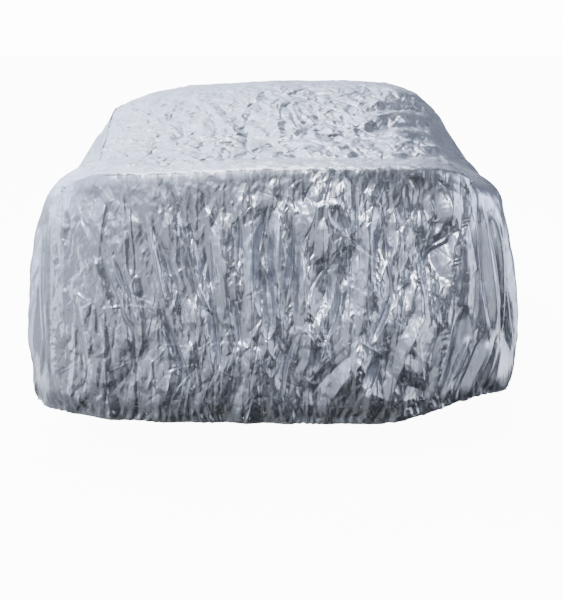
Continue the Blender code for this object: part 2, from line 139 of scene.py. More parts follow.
LEVELS = [
    (0.000, 0.900, 0.070, 0.085, 0.560, 0.755, 0.600),
    (0.110, 0.914, 0.028, 0.040, 0.590, 0.785, 0.625),
    (0.270, 0.920, 0.008, 0.012, 0.618, 0.808, 0.655),
    (0.455, 0.914, 0.000, 0.000, 0.628, 0.818, 0.675),
    (0.690, 0.898, 0.008, 0.010, 0.658, 0.810, 0.685),
    (0.875, 0.880, 0.018, 0.025, 0.700, 0.800, 0.690),
    (1.000, 0.850, 0.030, 0.045, 0.716, 0.786, 0.690),
]
HEM_COLUMNS = "round right left"
HEM = [
    (0.00, 0.200, 0.194),
    (0.10, 0.262, 0.202),
    (0.22, 0.240, 0.198),
    (0.45, 0.195, 0.180),
    (0.75, 0.205, 0.190),
    (1.00, 0.200, 0.200),
]
END_HEM_COLUMNS = "across height"
REAR_HEM = [(-1.0, 0.194), (-0.78, 0.182), (0.0, 0.174), (0.70, 0.166), (1.0, 0.200)]
FRONT_HEM = [(-1.0, 0.200), (0.0, 0.194), (1.0, 0.200)]

# Stations round the cover, as in the solids: how far round an end corner each one stands.
CORNER_TURNS = (1.0, 0.94, 0.80, 0.62, 0.42, 0.20)
FLANK_STATIONS = 24
CORNER_SPREAD = 1.2
SAG_EDGE = 6
print(len(UPPER), "sections across and", len(LEVELS), "levels from hem to shoulder")
print(f"one pixel on the rear is {1000 * (REAR_END - EYE[1]) / FOCAL_PIXELS:.1f} mm")

# %% A smooth curve through a table


def read(places, values, at):
    """A curve through a table's values that never swings past them."""
    places, values, at = (np.asarray(item, float) for item in (places, values, at))
    run = np.diff(places)
    slope = np.diff(values) / run
    tangent = np.zeros(len(values))
    both = slope[:-1] * slope[1:]
    steady = both > 0
    tangent[1:-1][steady] = 2 * both[steady] / (slope[:-1] + slope[1:])[steady]
    tangent[0], tangent[-1] = slope[0], slope[-1]
    cell = np.clip(np.searchsorted(places, at) - 1, 0, len(run) - 1)
    step = run[cell]
    t = np.clip((at - places[cell]) / step, 0, 1)
    start = (1 + 2 * t) * (1 - t) ** 2 * values[cell] + t * (1 - t) ** 2 * step * tangent[cell]
    end = t * t * (3 - 2 * t) * values[cell + 1] + t * t * (t - 1) * step * tangent[cell + 1]
    return start + end


def column(table, columns, name):
    """One named column of a table."""
    return np.array([row[columns.split().index(name)] for row in table])


def read_table(table, columns, name, at):
    """One named column of a table, read along its first column."""
    return read(column(table, columns, columns.split()[0]), column(table, columns, name), at)


def upper(name, place):
    return read_table(UPPER, UPPER_COLUMNS, name, place)


def ease(value):
    """0 to 1, with soft ends."""
    value = np.clip(value, 0, 1)
    return value * value * (3 - 2 * value)


def unit(vectors):
    return vectors / np.maximum(np.linalg.norm(vectors, axis=-1, keepdims=True), 1e-9)


print("height of the roof at its middle:", float(upper("middle", 0.0)))

# %% Stations round the cover
REAR_START, FRONT_START = REAR_END + REAR_CORNER, FRONT_END - FRONT_CORNER
FIRST_PLACE, LAST_PLACE = UPPER[0][0], UPPER[-1][0]
LAST_STATION = 2 * len(CORNER_TURNS) + FLANK_STATIONS
FLANK_TURNS = np.zeros(FLANK_STATIONS + 1)
STATION_TURNS = np.concatenate([-np.array(CORNER_TURNS), FLANK_TURNS, CORNER_TURNS[::-1]])


def place_and_turn(station):
    """A station's place along the upper line, and its turn: -1 at the rear seam, 1 at the front one."""
    turn = np.interp(station, np.arange(LAST_STATION + 1), STATION_TURNS)
    along = (station - len(CORNER_TURNS)) / FLANK_STATIONS
    flank = REAR_START + along * (FRONT_START - REAR_START)
    rear = FIRST_PLACE + (REAR_START - FIRST_PLACE) * (1 - np.abs(turn)) ** CORNER_SPREAD
    front = LAST_PLACE - (LAST_PLACE - FRONT_START) * (1 - np.abs(turn)) ** CORNER_SPREAD
    return np.where(turn < 0, rear, np.where(turn > 0, front, flank)), turn


def inside_end(x, half, depth):
    """How far in from the corner's start an end face lies, at x."""
    return depth * (1 - np.minimum(np.abs(x) / half, 1) ** CORNER_POWER) ** (1 / CORNER_POWER)


def drawn_in(place, turn, x):
    """A place on the upper line, drawn in towards the sides at the rear lip and the front edge."""
    short = 1 - inside_end(x, LEDGE_HALF, 1)
    corner = np.where(turn > 0, LAST_PLACE - FRONT_START, REAR_START - FIRST_PLACE)
    return place - short * corner * turn


print("stations 0 to", LAST_STATION, "from", FIRST_PLACE, "to", LAST_PLACE, "m along the upper line")

# %% Heights and outlines


def upper_height(share, place):
    """Height of the upper side, share being -1 at the left seam and 1 at the right one."""
    drop = np.where(share > 0, upper("right_drop", place), upper("left_drop", place))
    leftness = np.maximum(-share, 0)
    sag = upper("sag", place) * leftness * (1 - leftness**SAG_EDGE)
    return upper("middle", place) - sag - drop * np.abs(share) ** upper("square", place)


def seam_to_seam(share, left, right):
    return (right - left) / 2 + share * (right + left) / 2


def flank_line(level, station):
    """x and y of one level of a flank, round both its corners."""
    place, turn = place_and_turn(station)
    seam = np.where(turn > 0, level["front"], level["rear"])
    angle = np.abs(turn) * np.arccos((seam / level["half"]) ** (CORNER_POWER / 2))
    x = level["half"] * np.cos(angle) ** (2 / CORNER_POWER)
    out = np.sin(angle) ** (2 / CORNER_POWER)
    rear = REAR_START - (REAR_CORNER - level["rear_in"]) * out
    front = FRONT_START + (FRONT_CORNER - level["front_in"]) * out
    return x, np.where(turn < 0, rear, np.where(turn > 0, front, place))


def levels(side):
    """The levels as dictionaries, with the rear seam of one side."""
    found = [dict(zip(LEVEL_COLUMNS.split(), row)) for row in LEVELS]
    for level in found:
        level["rear"] = level["rear_" + side]
    return found


seam_heights = (float(upper_height(share, 0.0)) for share in (-1.0, 1.0))
print("height of the roof's seams, left and right:", metres(seam_heights))

# %% [markdown]
# ## Surfaces as grids of points
#
# Every panel is a grid: rows up the cloth and columns round it. A grid is easy to measure on, which the
# folds need, and its faces stay square and even, which the light shows. The cells of the rear are about 2
# by 3.5 mm, no larger than a pixel. They grow to 13 mm where the cover is seen least, and those of the
# solids are 3 to 19 cm.

# %% Grids of the panels


def equal_steps(lines, cells):
    """Smooth curves through the points of each line, cut into equal cells: rows of points."""
    rows = []
    for line in lines:
        steps = np.linalg.norm(np.diff(line, axis=0), axis=1)
        along = np.concatenate([[0], np.cumsum(steps)])
        fine = np.linspace(0, along[-1], 4 * cells + 1)
        curve = np.stack([read(along, line[:, axis], fine) for axis in range(3)], axis=1)
        lengths = np.concatenate([[0], np.cumsum(np.linalg.norm(np.diff(curve, axis=0), axis=1))])
        wanted = np.linspace(0, lengths[-1], cells + 1)
        rows.append(np.stack([np.interp(wanted, lengths, curve[:, axis]) for axis in range(3)], axis=1))
    return np.stack(rows, axis=1)


def side_surface(side, stations, cells):
    """A flank from the hem up, its columns at the stations."""
    sign = 1 if side == "right" else -1
    place, turn = place_and_turn(stations)
    seam_x, seam_z = upper(side, place), upper_height(np.full(len(place), float(sign)), place)
    hem = read_table(HEM, HEM_COLUMNS, side, stations / LAST_STATION)
    shoulder = np.minimum(SHOULDER_HEIGHT, seam_z - SHOULDER_DROP)
    lines = []
    for level in levels(side):
        x, y = flank_line(level, stations)
        lines.append(np.stack([sign * x, y, hem + level["share"] * (shoulder - hem)], axis=1))
    lines.append(np.stack([sign * seam_x, drawn_in(place, turn, seam_x), seam_z], axis=1))
    return equal_steps(np.stack(lines, axis=1), cells)


def end_surface(turn, shares, cells):
    """The centre panel on the rear (turn -1) or the front (turn 1), from the hem up."""
    place = LAST_PLACE if turn > 0 else FIRST_PLACE
    hem = read_table(FRONT_HEM if turn > 0 else REAR_HEM, END_HEM_COLUMNS, "height", shares)
    shoulder = np.minimum(SHOULDER_HEIGHT, upper_height(np.sign(shares), place) - SHOULDER_DROP)
    lines = []
    for right, left in zip(levels("right"), levels("left")):
        height = hem + right["share"] * (shoulder - hem)
        if turn > 0:
            x = shares * right["front"]
            y = FRONT_START + inside_end(x, right["half"], FRONT_CORNER - right["front_in"])
        else:
            x = seam_to_seam(shares, left["rear"], right["rear"])
            y = REAR_START - inside_end(x, right["half"], REAR_CORNER - right["rear_in"])
        lines.append(np.stack([x, y, height], axis=1))
    x = seam_to_seam(shares, upper("left", place), upper("right", place))
    lines.append(np.stack([x, drawn_in(place, turn, x), upper_height(shares, place)], axis=1))
    return equal_steps(np.stack(lines, axis=1), cells)


def upper_surface(stations, shares):
    """The centre panel on the upper side, a row for each station."""
    place, turn = (values[:, None] for values in place_and_turn(stations))
    x = seam_to_seam(shares, upper("left", place), upper("right", place))
    return np.stack([x, drawn_in(place, turn, x), upper_height(shares + 0 * place, place)], axis=2)


def flank_stations(count, corner_reach=0.62, corner_share=0.36):
    """Stations at equal steps along the flank, finer round the rear corner, which shows most."""
    dense = np.linspace(0, LAST_STATION, 3000)
    x, y = flank_line(levels("right")[3], dense)
    along = np.concatenate([[0], np.cumsum(np.hypot(np.diff(x), np.diff(y)))])
    reached = (0, corner_reach, along[-1])
    wanted = np.interp(np.linspace(0, 1, count + 1), (0, corner_share, 1), reached)
    return np.interp(wanted, along, dense)


def even_rows(start, end, count):
    """Stations at equal steps along the middle of the upper side."""
    dense = np.linspace(start, end, 3000)
    place = place_and_turn(dense)[0]
    steps = np.hypot(np.diff(place), np.diff(upper("middle", place)))
    along = np.concatenate([[0], np.cumsum(steps)])
    return np.interp(np.linspace(0, along[-1], count + 1), along, dense)


# %% Cutting the panels
# Every grid's rows and columns are divided by COARSE, here 1. The upper side and the front take every
# second and every sixth of the rear's columns, so that they share their points at the lip and on the
# roof.
COARSE = 1
REAR_ROWS, REAR_COLUMNS = 284 // COARSE, 696 // COARSE
SIDE_ROWS, SIDE_COLUMNS = 112 // COARSE, 620 // COARSE
UPPER_ROWS, BONNET_ROWS, FRONT_ROWS = 270 // COARSE, 180 // COARSE, 60 // COARSE
UPPER_STEP, FRONT_STEP = 2, 6
ROOF_SPLIT = 18.0  # the station where the upper side ends, at the highest line of the roof

shares = np.linspace(-1, 1, REAR_COLUMNS + 1)
upper_stations = even_rows(0, ROOF_SPLIT, UPPER_ROWS)
bonnet_stations = even_rows(ROOF_SPLIT, LAST_STATION, BONNET_ROWS)
bonnet = upper_surface(bonnet_stations, shares[::FRONT_STEP])
front_end = end_surface(1, shares[::FRONT_STEP], FRONT_ROWS)
surfaces = {
    "rear": end_surface(-1, shares, REAR_ROWS),
    "upper": upper_surface(upper_stations, shares[::UPPER_STEP]),
    "front": np.concatenate([bonnet, front_end[::-1][1:]]),
}
side_stations = flank_stations(SIDE_COLUMNS)
for side in ("right", "left"):
    surfaces[side] = side_surface(side, side_stations, SIDE_ROWS)
for name, points in surfaces.items():
    low, high = points.min(axis=(0, 1)), points.max(axis=(0, 1))
    print(name, "grid", points.shape[:2], "from", metres(low), "to", metres(high))

# %% [markdown]
# ## Folds, placed one by one
#
# A fold is a trough or ridge along a slightly bowed line. On the real cover the long ones run from where
# the cloth hangs, at the boot lip or the shoulder, to where the elastic draws it in. They could be
# sculpted with a brush, but a table with a row for each keeps them adjustable: its two ends, how far it
# bows, half its breadth, how far it stands out, and how much it leans, which makes one of its sides
# steeper than the other. All but the lean is in millimetres, and a row without one has the usual lean.
# On a flank x runs round the corner and along the side, and on the upper side up runs to the front.
#
# The tables called folds are those of the solids, apart from one trough at the right of the rear that is
# half as deep here. The creases between them are too fine for the solids.

# %% Folds of the hanging rear
FOLD_COLUMNS = "x_start up_start x_end up_end bow width rise lean"
REAR_FOLDS = [
    (-620, 860, -490, 470, 10, 35, -12, 0.2),
    (-570, 860, -470, 450, 20, 30, 10, 0.2),
    (-700, 720, -660, 280, 0, 50, 14, 0.0),
    (-470, 970, -260, 300, 30, 40, -16, 0.3),
    (-400, 970, -300, 400, 20, 45, 12, 0.2),
    (-340, 1020, -230, 560, 20, 45, -20, 0.2),
    (-290, 860, -230, 520, 0, 45, 16, -0.2),
    (-240, 940, -190, 360, -10, 40, -14, 0.0),
    (-130, 980, -120, 420, 20, 40, -14, 0.2),
    (-80, 950, -90, 500, 0, 50, 14, 0.3),
    (-30, 1000, -40, 450, -10, 45, -24, 0.2),
    (20, 1000, 0, 500, 0, 45, 18, 0.3),
    (70, 960, 30, 360, 10, 45, -18, 0.0),
    (130, 940, 90, 300, 10, 55, 20, 0.2),
    (220, 780, 100, 480, 10, 50, -24, -0.3),
    (290, 980, 200, 360, 20, 55, -20, 0.2),
    (340, 960, 330, 620, 0, 50, 18, 0.0),
    (390, 990, 360, 660, 0, 45, -18, 0.2),
    (470, 1000, 300, 600, 30, 55, 16, 0.0),
    (560, 940, 400, 520, -20, 50, -16, 0.2),
    (630, 1030, 640, 880, 0, 50, 22, 0.0),
    (620, 900, 520, 700, 0, 50, -20, 0.2),
    (600, 660, 420, 240, -30, 65, 26, 0.3),
    (420, 500, 200, 250, -30, 60, 24, -0.2),
    (300, 460, 120, 240, -20, 50, -20, 0.2),
    (600, 540, 570, 300, -10, 55, -12, -0.5),
    (-100, 400, -160, 220, 0, 45, -14, 0.0),
    (-360, 420, -400, 240, 0, 50, 14, 0.0),
]
REAR_CREASES = [
    (-630, 867, -483, 478, -20, 20, -10),
    (-600, 860, -470, 520, -10, 22, 8),
    (-573, 870, -483, 440, 6, 17, -8),
    (-468, 985, -415, 690, -4, 20, -13),
    (-415, 700, -268, 294, -16, 20, -14),
    (-445, 960, -385, 600, -4, 25, 10),
    (-385, 1064, -317, 842, 23, 25, -12),
    (-317, 842, -229, 570, -9, 28, -16),
    (-290, 650, -280, 510, 0, 31, 16),
    (-237, 950, -218, 643, 1, 17, -10),
    (-218, 643, -195, 386, 2, 18, -11),
    (-200, 900, -165, 560, 4, 25, 9),
    (-130, 985, -135, 734, 12, 20, -10),
    (-150, 679, -115, 460, 4, 18, -10),
    (-121, 740, -110, 640, 0, 31, 13),
    (-70, 950, -95, 620, 4, 22, 10),
    (-13, 995, -56, 770, -7, 24, -19),
    (-56, 780, -24, 497, 34, 22, -18),
    (20, 960, 5, 700, 4, 25, 12),
    (65, 985, 30, 570, 17, 18, -13),
    (100, 840, 109, 533, 6, 28, 16),
    (136, 1060, 104, 980, 0, 20, -10),
    (219, 790, 113, 552, -36, 24, -17),
    (222, 785, 174, 478, 32, 21, -16),
    (179, 985, 180, 770, 0, 34, 14),
    (218, 985, 273, 842, 8, 31, -15),
    (292, 1070, 294, 806, 4, 14, -8),
    (343, 950, 346, 643, 6, 31, 14),
    (389, 985, 418, 643, 4, 21, -14),
    (430, 700, 340, 480, 10, 28, -9),
    (384, 450, 331, 294, 4, 22, -14),
    (95, 533, 37, 275, -23, 22, -14),
    (174, 478, 131, 349, 0, 20, -12),
    (160, 330, 161, 220, 0, 18, -12),
    (562, 1021, 592, 925, 0, 20, -10),
    (433, 860, 398, 781, 0, 21, -10),
    (660, 885, 540, 815, 0, 45, -12),
    (643, 1060, 622, 880, 10, 39, 6),
    (524, 716, 527, 533, 4, 39, 12),
    (282, 478, 277, 270, -10, 48, 16),
    (545, 533, 476, 275, -14, 36, 7, 0.5),
    (-768, 990, -776, 810, 6, 40, 5),
    (-749, 960, -759, 831, 13, 17, -10),
    (-717, 661, -673, 349, 4, 25, -12),
    (-700, 442, -701, 320, 0, 21, -10),
    (-639, 423, -642, 275, 0, 28, 12),
    (-701, 581, -387, 603, 23, 7, 1.2, 0.3),
    (-439, 486, -161, 489, -16, 7, 1.4, 0.3),
]

# %% Folds of the upper side
UPPER_FOLDS = [
    (700, -700, 280, -1180, 30, 60, -18, 0.0),
    (700, -860, 300, -1300, 20, 50, 16, 0.2),
    (700, -1000, 160, -1520, 30, 60, -22, 0.0),
    (700, -1140, 340, -1520, 20, 50, 16, 0.2),
    (700, -1300, 500, -1480, 0, 50, -14, 0.0),
    (660, -520, 420, -800, 0, 70, 18, 0.0),
    (-710, -860, -560, -1060, 20, 45, -20, 0.2),
    (-720, -1400, -580, -1460, 20, 45, -18, 0.2),
    (-60, -600, -20, -980, 0, 60, -12, 0.2),
    (20, -1000, 70, -1340, 20, 60, 12, 0.2),
    (-300, -900, -200, -1500, 40, 70, 10, 0.0),
]
UPPER_CREASES = [
    (700, -800, 110, -1590, 10, 80, 9, 0.5),
    (700, -1110, 230, -1780, 10, 75, 10, 0.5),
    (370, -1490, 90, -1830, 10, 55, 11, 0.5),
    (700, -1360, 440, -1750, 10, 50, 10, 0.5),
    (660, -740, 520, -860, 0, 25, -10, -0.3),
    (670, -840, 500, -980, 0, 25, -10, -0.3),
    (660, -660, 560, -740, 0, 25, -10, -0.3),
    (-690, -1340, -655, -1060, 10, 30, -14, 0.3),
    (-700, -1780, -620, -1900, 0, 30, -12, 0.3),
    (-55, -860, -20, -1180, 0, 14, -6, -0.4),
    (0, -920, 25, -1260, 0, 14, 6, -0.4),
    (40, -880, 100, -1500, 10, 14, -6, -0.4),
]
FRONT_UPPER_FOLDS = [
    (-400, 750, -520, 1300, 0, 80, -18),
    (0, 800, -40, 1320, 0, 80, 16),
    (380, 780, 460, 1340, 0, 80, -18),
    (-620, 1150, 0, 1400, 50, 80, -20),
    (640, 1120, 50, 1420, 50, 80, -20),
    (-300, 1500, -420, 2100, 0, 80, 14),
    (160, 1450, 240, 2120, 0, 80, -14),
]

# %% Folds of the flanks and the front
FLANK_FOLDS = [
    (830, 980, 760, 300, 20, 75, 18),
    (920, 980, 860, 300, 20, 75, -18),
    (1030, 970, 970, 300, 20, 85, 18),
    (1160, 980, 1120, 280, 10, 110, -20),
    (1340, 1020, 1270, 260, 10, 120, 22),
    (1520, 1060, 1440, 280, 20, 110, -24),
    (1720, 1100, 1580, 240, 20, 130, 26),
    (1980, 1180, 1800, 240, 30, 150, -30),
    (2160, 1200, 2060, 220, 10, 130, 24),
    (2360, 1220, 2340, 240, 0, 150, -32),
    (2560, 1140, 2620, 220, -20, 140, 26),
    (2840, 1220, 2800, 240, 20, 160, -30),
    (3060, 1200, 3140, 220, 0, 140, 28),
    (3260, 1160, 3360, 240, -30, 140, -32),
    (3420, 1020, 3660, 240, -40, 150, 30),
    (3660, 980, 3880, 260, -20, 130, -28),
    (3920, 920, 4060, 220, -10, 120, 24),
    (4140, 880, 4240, 240, 0, 120, -24),
    (4360, 860, 4420, 220, 0, 110, 22),
    (4580, 840, 4620, 240, 0, 110, -20),
    (4780, 800, 4800, 240, 0, 95, 18),
    (4940, 780, 4960, 240, 0, 85, -16),
]
LEFT_SHIFT = 110
RIGHT_CREASES = [
    (700, 980, 744, 740, 0, 22, -9, -0.3),
    (744, 760, 735, 560, 0, 22, -9, -0.3),
    (742, 985, 801, 500, 0, 16, -9, 0.0),
    (772, 985, 826, 500, 0, 14, 8, 0.0),
    (792, 975, 876, 470, 0, 18, -12, 0.0),
    (826, 965, 893, 470, 0, 14, 9, 0.0),
    (846, 960, 925, 420, 0, 18, -13, 0.0),
    (880, 940, 955, 400, 0, 16, 10, 0.0),
    (905, 900, 985, 400, 0, 18, -13, 0.0),
    (700, 620, 600, 230, 10, 45, -22, 0.2),
    (720, 500, 630, 260, 0, 16, 12, 0.2),
    (762, 490, 680, 270, 0, 16, -12, 0.2),
    (790, 490, 715, 270, 0, 16, 12, 0.2),
    (830, 500, 765, 280, 0, 16, -12, 0.2),
    (870, 480, 815, 280, 0, 18, 12, 0.2),
]
LEFT_CREASES = [
    (838, 940, 846, 290, -6, 13, 7, 0.0),
    (868, 930, 872, 300, -8, 22, -15, 0.2),
    (902, 900, 905, 300, -6, 14, 9, 0.0),
    (940, 860, 935, 312, 0, 26, -16, 0.2),
]
FRONT_FOLDS = [
    (-520, 740, -560, 240, 0, 60, 16),
    (-380, 760, -400, 240, 10, 60, -18),
    (-220, 760, -200, 240, 0, 65, 18),
    (-60, 740, -50, 240, 10, 60, -16),
    (110, 760, 120, 240, -10, 65, 18),
    (280, 740, 310, 240, -10, 60, -18),
    (450, 740, 500, 240, -20, 60, 16),
]

# %% Folds from a table
FOLD_TAPER = 0.25  # the share of its length over which a soft fold fades at each end
USUAL_LEAN, CREASE_LEAN = 0.2, -0.5


def folds(table, a, b, pointed=0.0, lean=USUAL_LEAN):
    """How far out folds push the cloth. Soft, or with straight sides and a pointed share at both ends."""
    out = np.zeros(a.shape)
    for row in table:
        fold = {name: value / 1000 for name, value in zip(FOLD_COLUMNS.split(), row[:7])}
        fold["lean"] = row[7] if len(row) > 7 else lean
        run, climb = fold["x_end"] - fold["x_start"], fold["up_end"] - fold["up_start"]
        length = np.hypot(run, climb)
        a_from, b_from = a - fold["x_start"], b - fold["up_start"]
        along = (a_from * run + b_from * climb) / length**2
        aside = (b_from * run - a_from * climb) / length - 4 * fold["bow"] * along * (1 - along)
        breadth = fold["width"] * (1 + fold["lean"] * np.sign(aside))
        taper = ease(along / FOLD_TAPER) * ease((1 - along) / FOLD_TAPER)
        if pointed:
            taper = np.clip(np.minimum(along, 1 - along) / pointed, 0, 1)
        profile = np.clip(1 - np.abs(aside) / breadth, 0, 1)
        out += fold["rise"] * (profile if pointed else ease(profile)) * taper
    return out


def moved_on(table, shift):
    """A fold table moved round the cover, with its ridges turned into troughs."""
    return [(a + shift, b, c + shift, d, *size, -rise) for a, b, c, d, *size, rise in table]


for name, tables in (("rear", (REAR_FOLDS, REAR_CREASES)), ("upper side", (UPPER_FOLDS, UPPER_CREASES))):
    print("folds and creases of the", name + ":", *(len(table) for table in tables))

# %% [markdown]
# ## Crumples
#
# Between the folds the whole cloth is crumpled. Thin coated taffeta can't stretch, so it doesn't ripple
# like water: it breaks into small, nearly flat facets that meet in sharp creases. Ordinary noise looks
# too soft for this, so two things take its place. Plates are flat triangles between scattered knots, each
# knot at a height of its own, as in a sheet of crushed paper. Strokes are short scattered creases with
# straight sides, longer up the cloth than across it. Both are laid over each other in several sizes, and
# the places are bent first, so that no crease is quite straight.

# %% Chance and drift


def chance(i, j, seed):
    """A fixed number from 0 to 1 for each cell."""
    value = np.sin(i * 127.1 + j * 311.7 + seed * 74.7) * 43758.5453
    return value - np.floor(value)


def drift(a, b, size, seed):
    """A smooth wandering value from about -1 to 1."""
    out = np.zeros(np.broadcast(a, b).shape)
    for number in range(5):
        angle = 2 * np.pi * chance(number, seed, 1)
        reach = size * (0.6 + 0.9 * chance(number, seed, 2))
        along = a * np.cos(angle) + b * np.sin(angle)
        out += np.sin(2 * np.pi * along / reach + 6.3 * chance(number, seed, 3))
    return out / 2.4


def cells_round(a, b):
    """The nine cells at and round each point, and the point's place from each cell's corner."""
    i0, j0 = np.floor(a), np.floor(b)
    for di in (-1, 0, 1):
        for dj in (-1, 0, 1):
            yield i0 + di, j0 + dj, a - i0 - di, b - j0 - dj


a, b = np.meshgrid(np.linspace(0, 1, 50), np.linspace(0, 1, 50))
print("drift from", drift(a, b, 0.3, 1).min().round(2), "to", drift(a, b, 0.3, 1).max().round(2))

# %% Plates


def plates(a, b, wide, tall, seed):
    """Flat triangles between scattered knots, their heights from -1 to 1."""
    a, b = a / wide, b / tall
    best, out = np.full(a.shape, -9.0), np.zeros(a.shape)

    def knot(i, j):
        """Place and height of one knot."""
        return (
            i + 0.8 * (chance(i, j, seed) - 0.5),
            j + 0.8 * (chance(i, j, seed + 1) - 0.5),
            2 * chance(i, j, seed + 2) - 1,
        )

    for i, j, _, _ in cells_round(a, b):
        low_left, low_right = knot(i, j), knot(i + 1, j)
        high_left, high_right = knot(i, j + 1), knot(i + 1, j + 1)
        flip = chance(i, j, seed + 3) > 0.5
        third = [np.where(flip, one, other) for one, other in zip(high_right, high_left)]
        fourth = [np.where(flip, one, other) for one, other in zip(low_left, low_right)]
        for p, q, r in ((low_left, low_right, third), (high_right, high_left, fourth)):
            pa, pb, qa, qb, ra, rb = p[0] - a, p[1] - b, q[0] - a, q[1] - b, r[0] - a, r[1] - b
            p_share, q_share, r_share = qa * rb - ra * qb, ra * pb - pa * rb, pa * qb - qa * pb
            whole = p_share + q_share + r_share
            whole = np.where(np.abs(whole) < 1e-6, 1e-6, whole)
            inside = np.minimum(np.minimum(p_share / whole, q_share / whole), r_share / whole)
            height = (p_share * p[2] + q_share * q[2] + r_share * r[2]) / whole
            out = np.where(inside > best, height, out)
            best = np.maximum(inside, best)
    return np.clip(out, -1, 1)


trial = plates(a, b, 0.2, 0.3, 1)
print("plates from", trial.min().round(2), "to", trial.max().round(2))

# %% Strokes


def strokes(a, b, wide, tall, narrow, turn, seed):
    """Scattered short creases, one to a cell, each like a tent; half stand out and half sink in."""
    total = np.zeros(a.shape)
    for i, j, off_a, off_b in cells_round(a / wide, b / tall):
        off_a = (off_a - chance(i, j, seed)) * wide
        off_b = (off_b - chance(i, j, seed + 1)) * tall
        angle = 2 * turn * (chance(i, j, seed + 2) - 0.5)
        along = off_b * np.cos(angle) + off_a * np.sin(angle)
        aside = off_a * np.cos(angle) - off_b * np.sin(angle)
        reach = 1 / (np.abs(np.cos(angle)) / tall + np.abs(np.sin(angle)) / wide)
        lean = 1 + 1.2 * (chance(i, j, seed + 4) - 0.5) * np.sign(aside)
        breadth = narrow * (0.5 + chance(i, j, seed + 3)) * lean
        breadth = breadth * (1.2 - 0.6 * np.abs(along) / reach)
        tent = np.maximum(1 - np.abs(aside) / np.maximum(breadth, 1e-4), 0)
        tent = tent * ease(1.6 * (1 - np.abs(along) / reach))
        size = 2 * chance(i, j, seed + 5) - 1
        total += np.sign(size) * (0.3 + 0.7 * np.abs(size)) * tent
    return total


trial = strokes(a, b, 0.2, 0.3, 0.05, 0.5, 1)
print("strokes from", trial.min().round(2), "to", trial.max().round(2))

# %% Crumples of several sizes
# Breadths, heights and rises in metres, the turn of a stroke in radians. Each size has its own seed.
PLATE_COLUMNS = "wide tall rise seed"
STROKE_COLUMNS = "wide tall narrow rise turn seed"


def crumple(plate_table, stroke_table, a, b, edge, bend=0.2):
    """Plates and strokes of several sizes. Each fades over its own breadth towards an edge."""
    out = np.zeros(a.shape)
    for row in plate_table:
        size = dict(zip(PLATE_COLUMNS.split(), row))
        bent_a = a + bend * size["wide"] * drift(a, b, 3.1 * size["tall"], size["seed"])
        bent_b = b + bend * size["tall"] * drift(a, b, 3.7 * size["tall"], size["seed"] + 7)
        fade = ease(edge / size["wide"])
        out += size["rise"] * fade * plates(bent_a, bent_b, size["wide"], size["tall"], size["seed"])
    for row in stroke_table:
        size = dict(zip(STROKE_COLUMNS.split(), row))
        bent_a = a + bend * size["wide"] * drift(a, b, 3.3 * size["tall"], size["seed"])
        fade = ease(edge / size["wide"])
        tents = strokes(bent_a, b, *(size[key] for key in ("wide", "tall", "narrow", "turn", "seed")))
        out += size["rise"] * fade * tents
    return out


REAR_PLATES = [
    (0.110, 0.300, 0.0120, 3),
    (0.052, 0.090, 0.0050, 5),
    (0.026, 0.040, 0.0030, 7),
    (0.013, 0.020, 0.0014, 9),
]
RIGHT_PLATES = [(0.150, 0.200, 0.0240, 33), (0.075, 0.100, 0.0100, 35)]
REAR_STROKES = [
    (0.090, 0.420, 0.014, 0.0045, 0.16, 61),
    (0.046, 0.240, 0.007, 0.0020, 0.20, 71),
    (0.085, 0.110, 0.006, 0.0016, 1.30, 161),
]
UPPER_PLATES = [(0.130, 0.300, 0.0100, 13), (0.055, 0.120, 0.0090, 15), (0.026, 0.055, 0.0070, 17)]
UPPER_STROKES = [
    (0.150, 0.260, 0.020, 0.0080, 1.50, 91),
    (0.060, 0.140, 0.010, 0.0060, 0.90, 101),
    (0.036, 0.080, 0.007, 0.0034, 0.90, 111),
]
SIDE_PLATES = [(0.170, 0.340, 0.0160, 23), (0.075, 0.150, 0.0080, 25), (0.036, 0.070, 0.0030, 27)]
SIDE_STROKES = [
    (0.120, 0.460, 0.030, 0.0060, 0.25, 121),
    (0.060, 0.220, 0.014, 0.0030, 0.35, 131),
]

# %% Spots
# Where the cloth is more crumpled, or pulled smoother, than elsewhere.
SPOT_COLUMNS = "x up wide tall change"
REAR_SPOTS = [
    (0.10, 0.66, 0.42, 0.36, 0.30),
    (-0.55, 0.86, 0.26, 0.16, -0.35),
    (0.55, 1.00, 0.20, 0.10, -0.35),
    (-0.40, 1.04, 0.50, 0.05, -0.50),
    (0.56, 0.42, 0.14, 0.18, -0.60),
    (0.00, 0.42, 0.60, 0.15, 0.35),
]
UPPER_SPOTS = [
    (0.00, 0.05, 2.00, 0.65, -0.85),
    (-0.45, -0.90, 0.40, 0.60, -0.35),
    (-0.60, -1.75, 0.30, 0.16, -0.45),
]


def spots(table, a, b):
    """How crumpled the cloth is at each point, 1 being usual."""
    out = np.ones(a.shape)
    for row in table:
        spot = dict(zip(SPOT_COLUMNS.split(), row))
        away = ((a - spot["x"]) / spot["wide"]) ** 2 + ((b - spot["up"]) / spot["tall"]) ** 2
        out *= 1 + spot["change"] * np.exp(-away)
    return out


print("spots:", len(REAR_SPOTS), "on the rear and", len(UPPER_SPOTS), "on the upper side")

# %% [markdown]
# ## Seams, lip and hem
#
# Three things hold the crumples back. Along the boot lip and the roof's edges the cloth is pulled smooth
# over something hard. At the sewn seams it puckers, because the thread draws it in every few
# centimetres. And at the hem an elastic gathers it into short pleats. The crumples fade towards each of
# these edges, a large one sooner than a small one, so that no dark line runs along it, and the puckers
# and pleats are small waves of their own.

# %% Distances to the edges


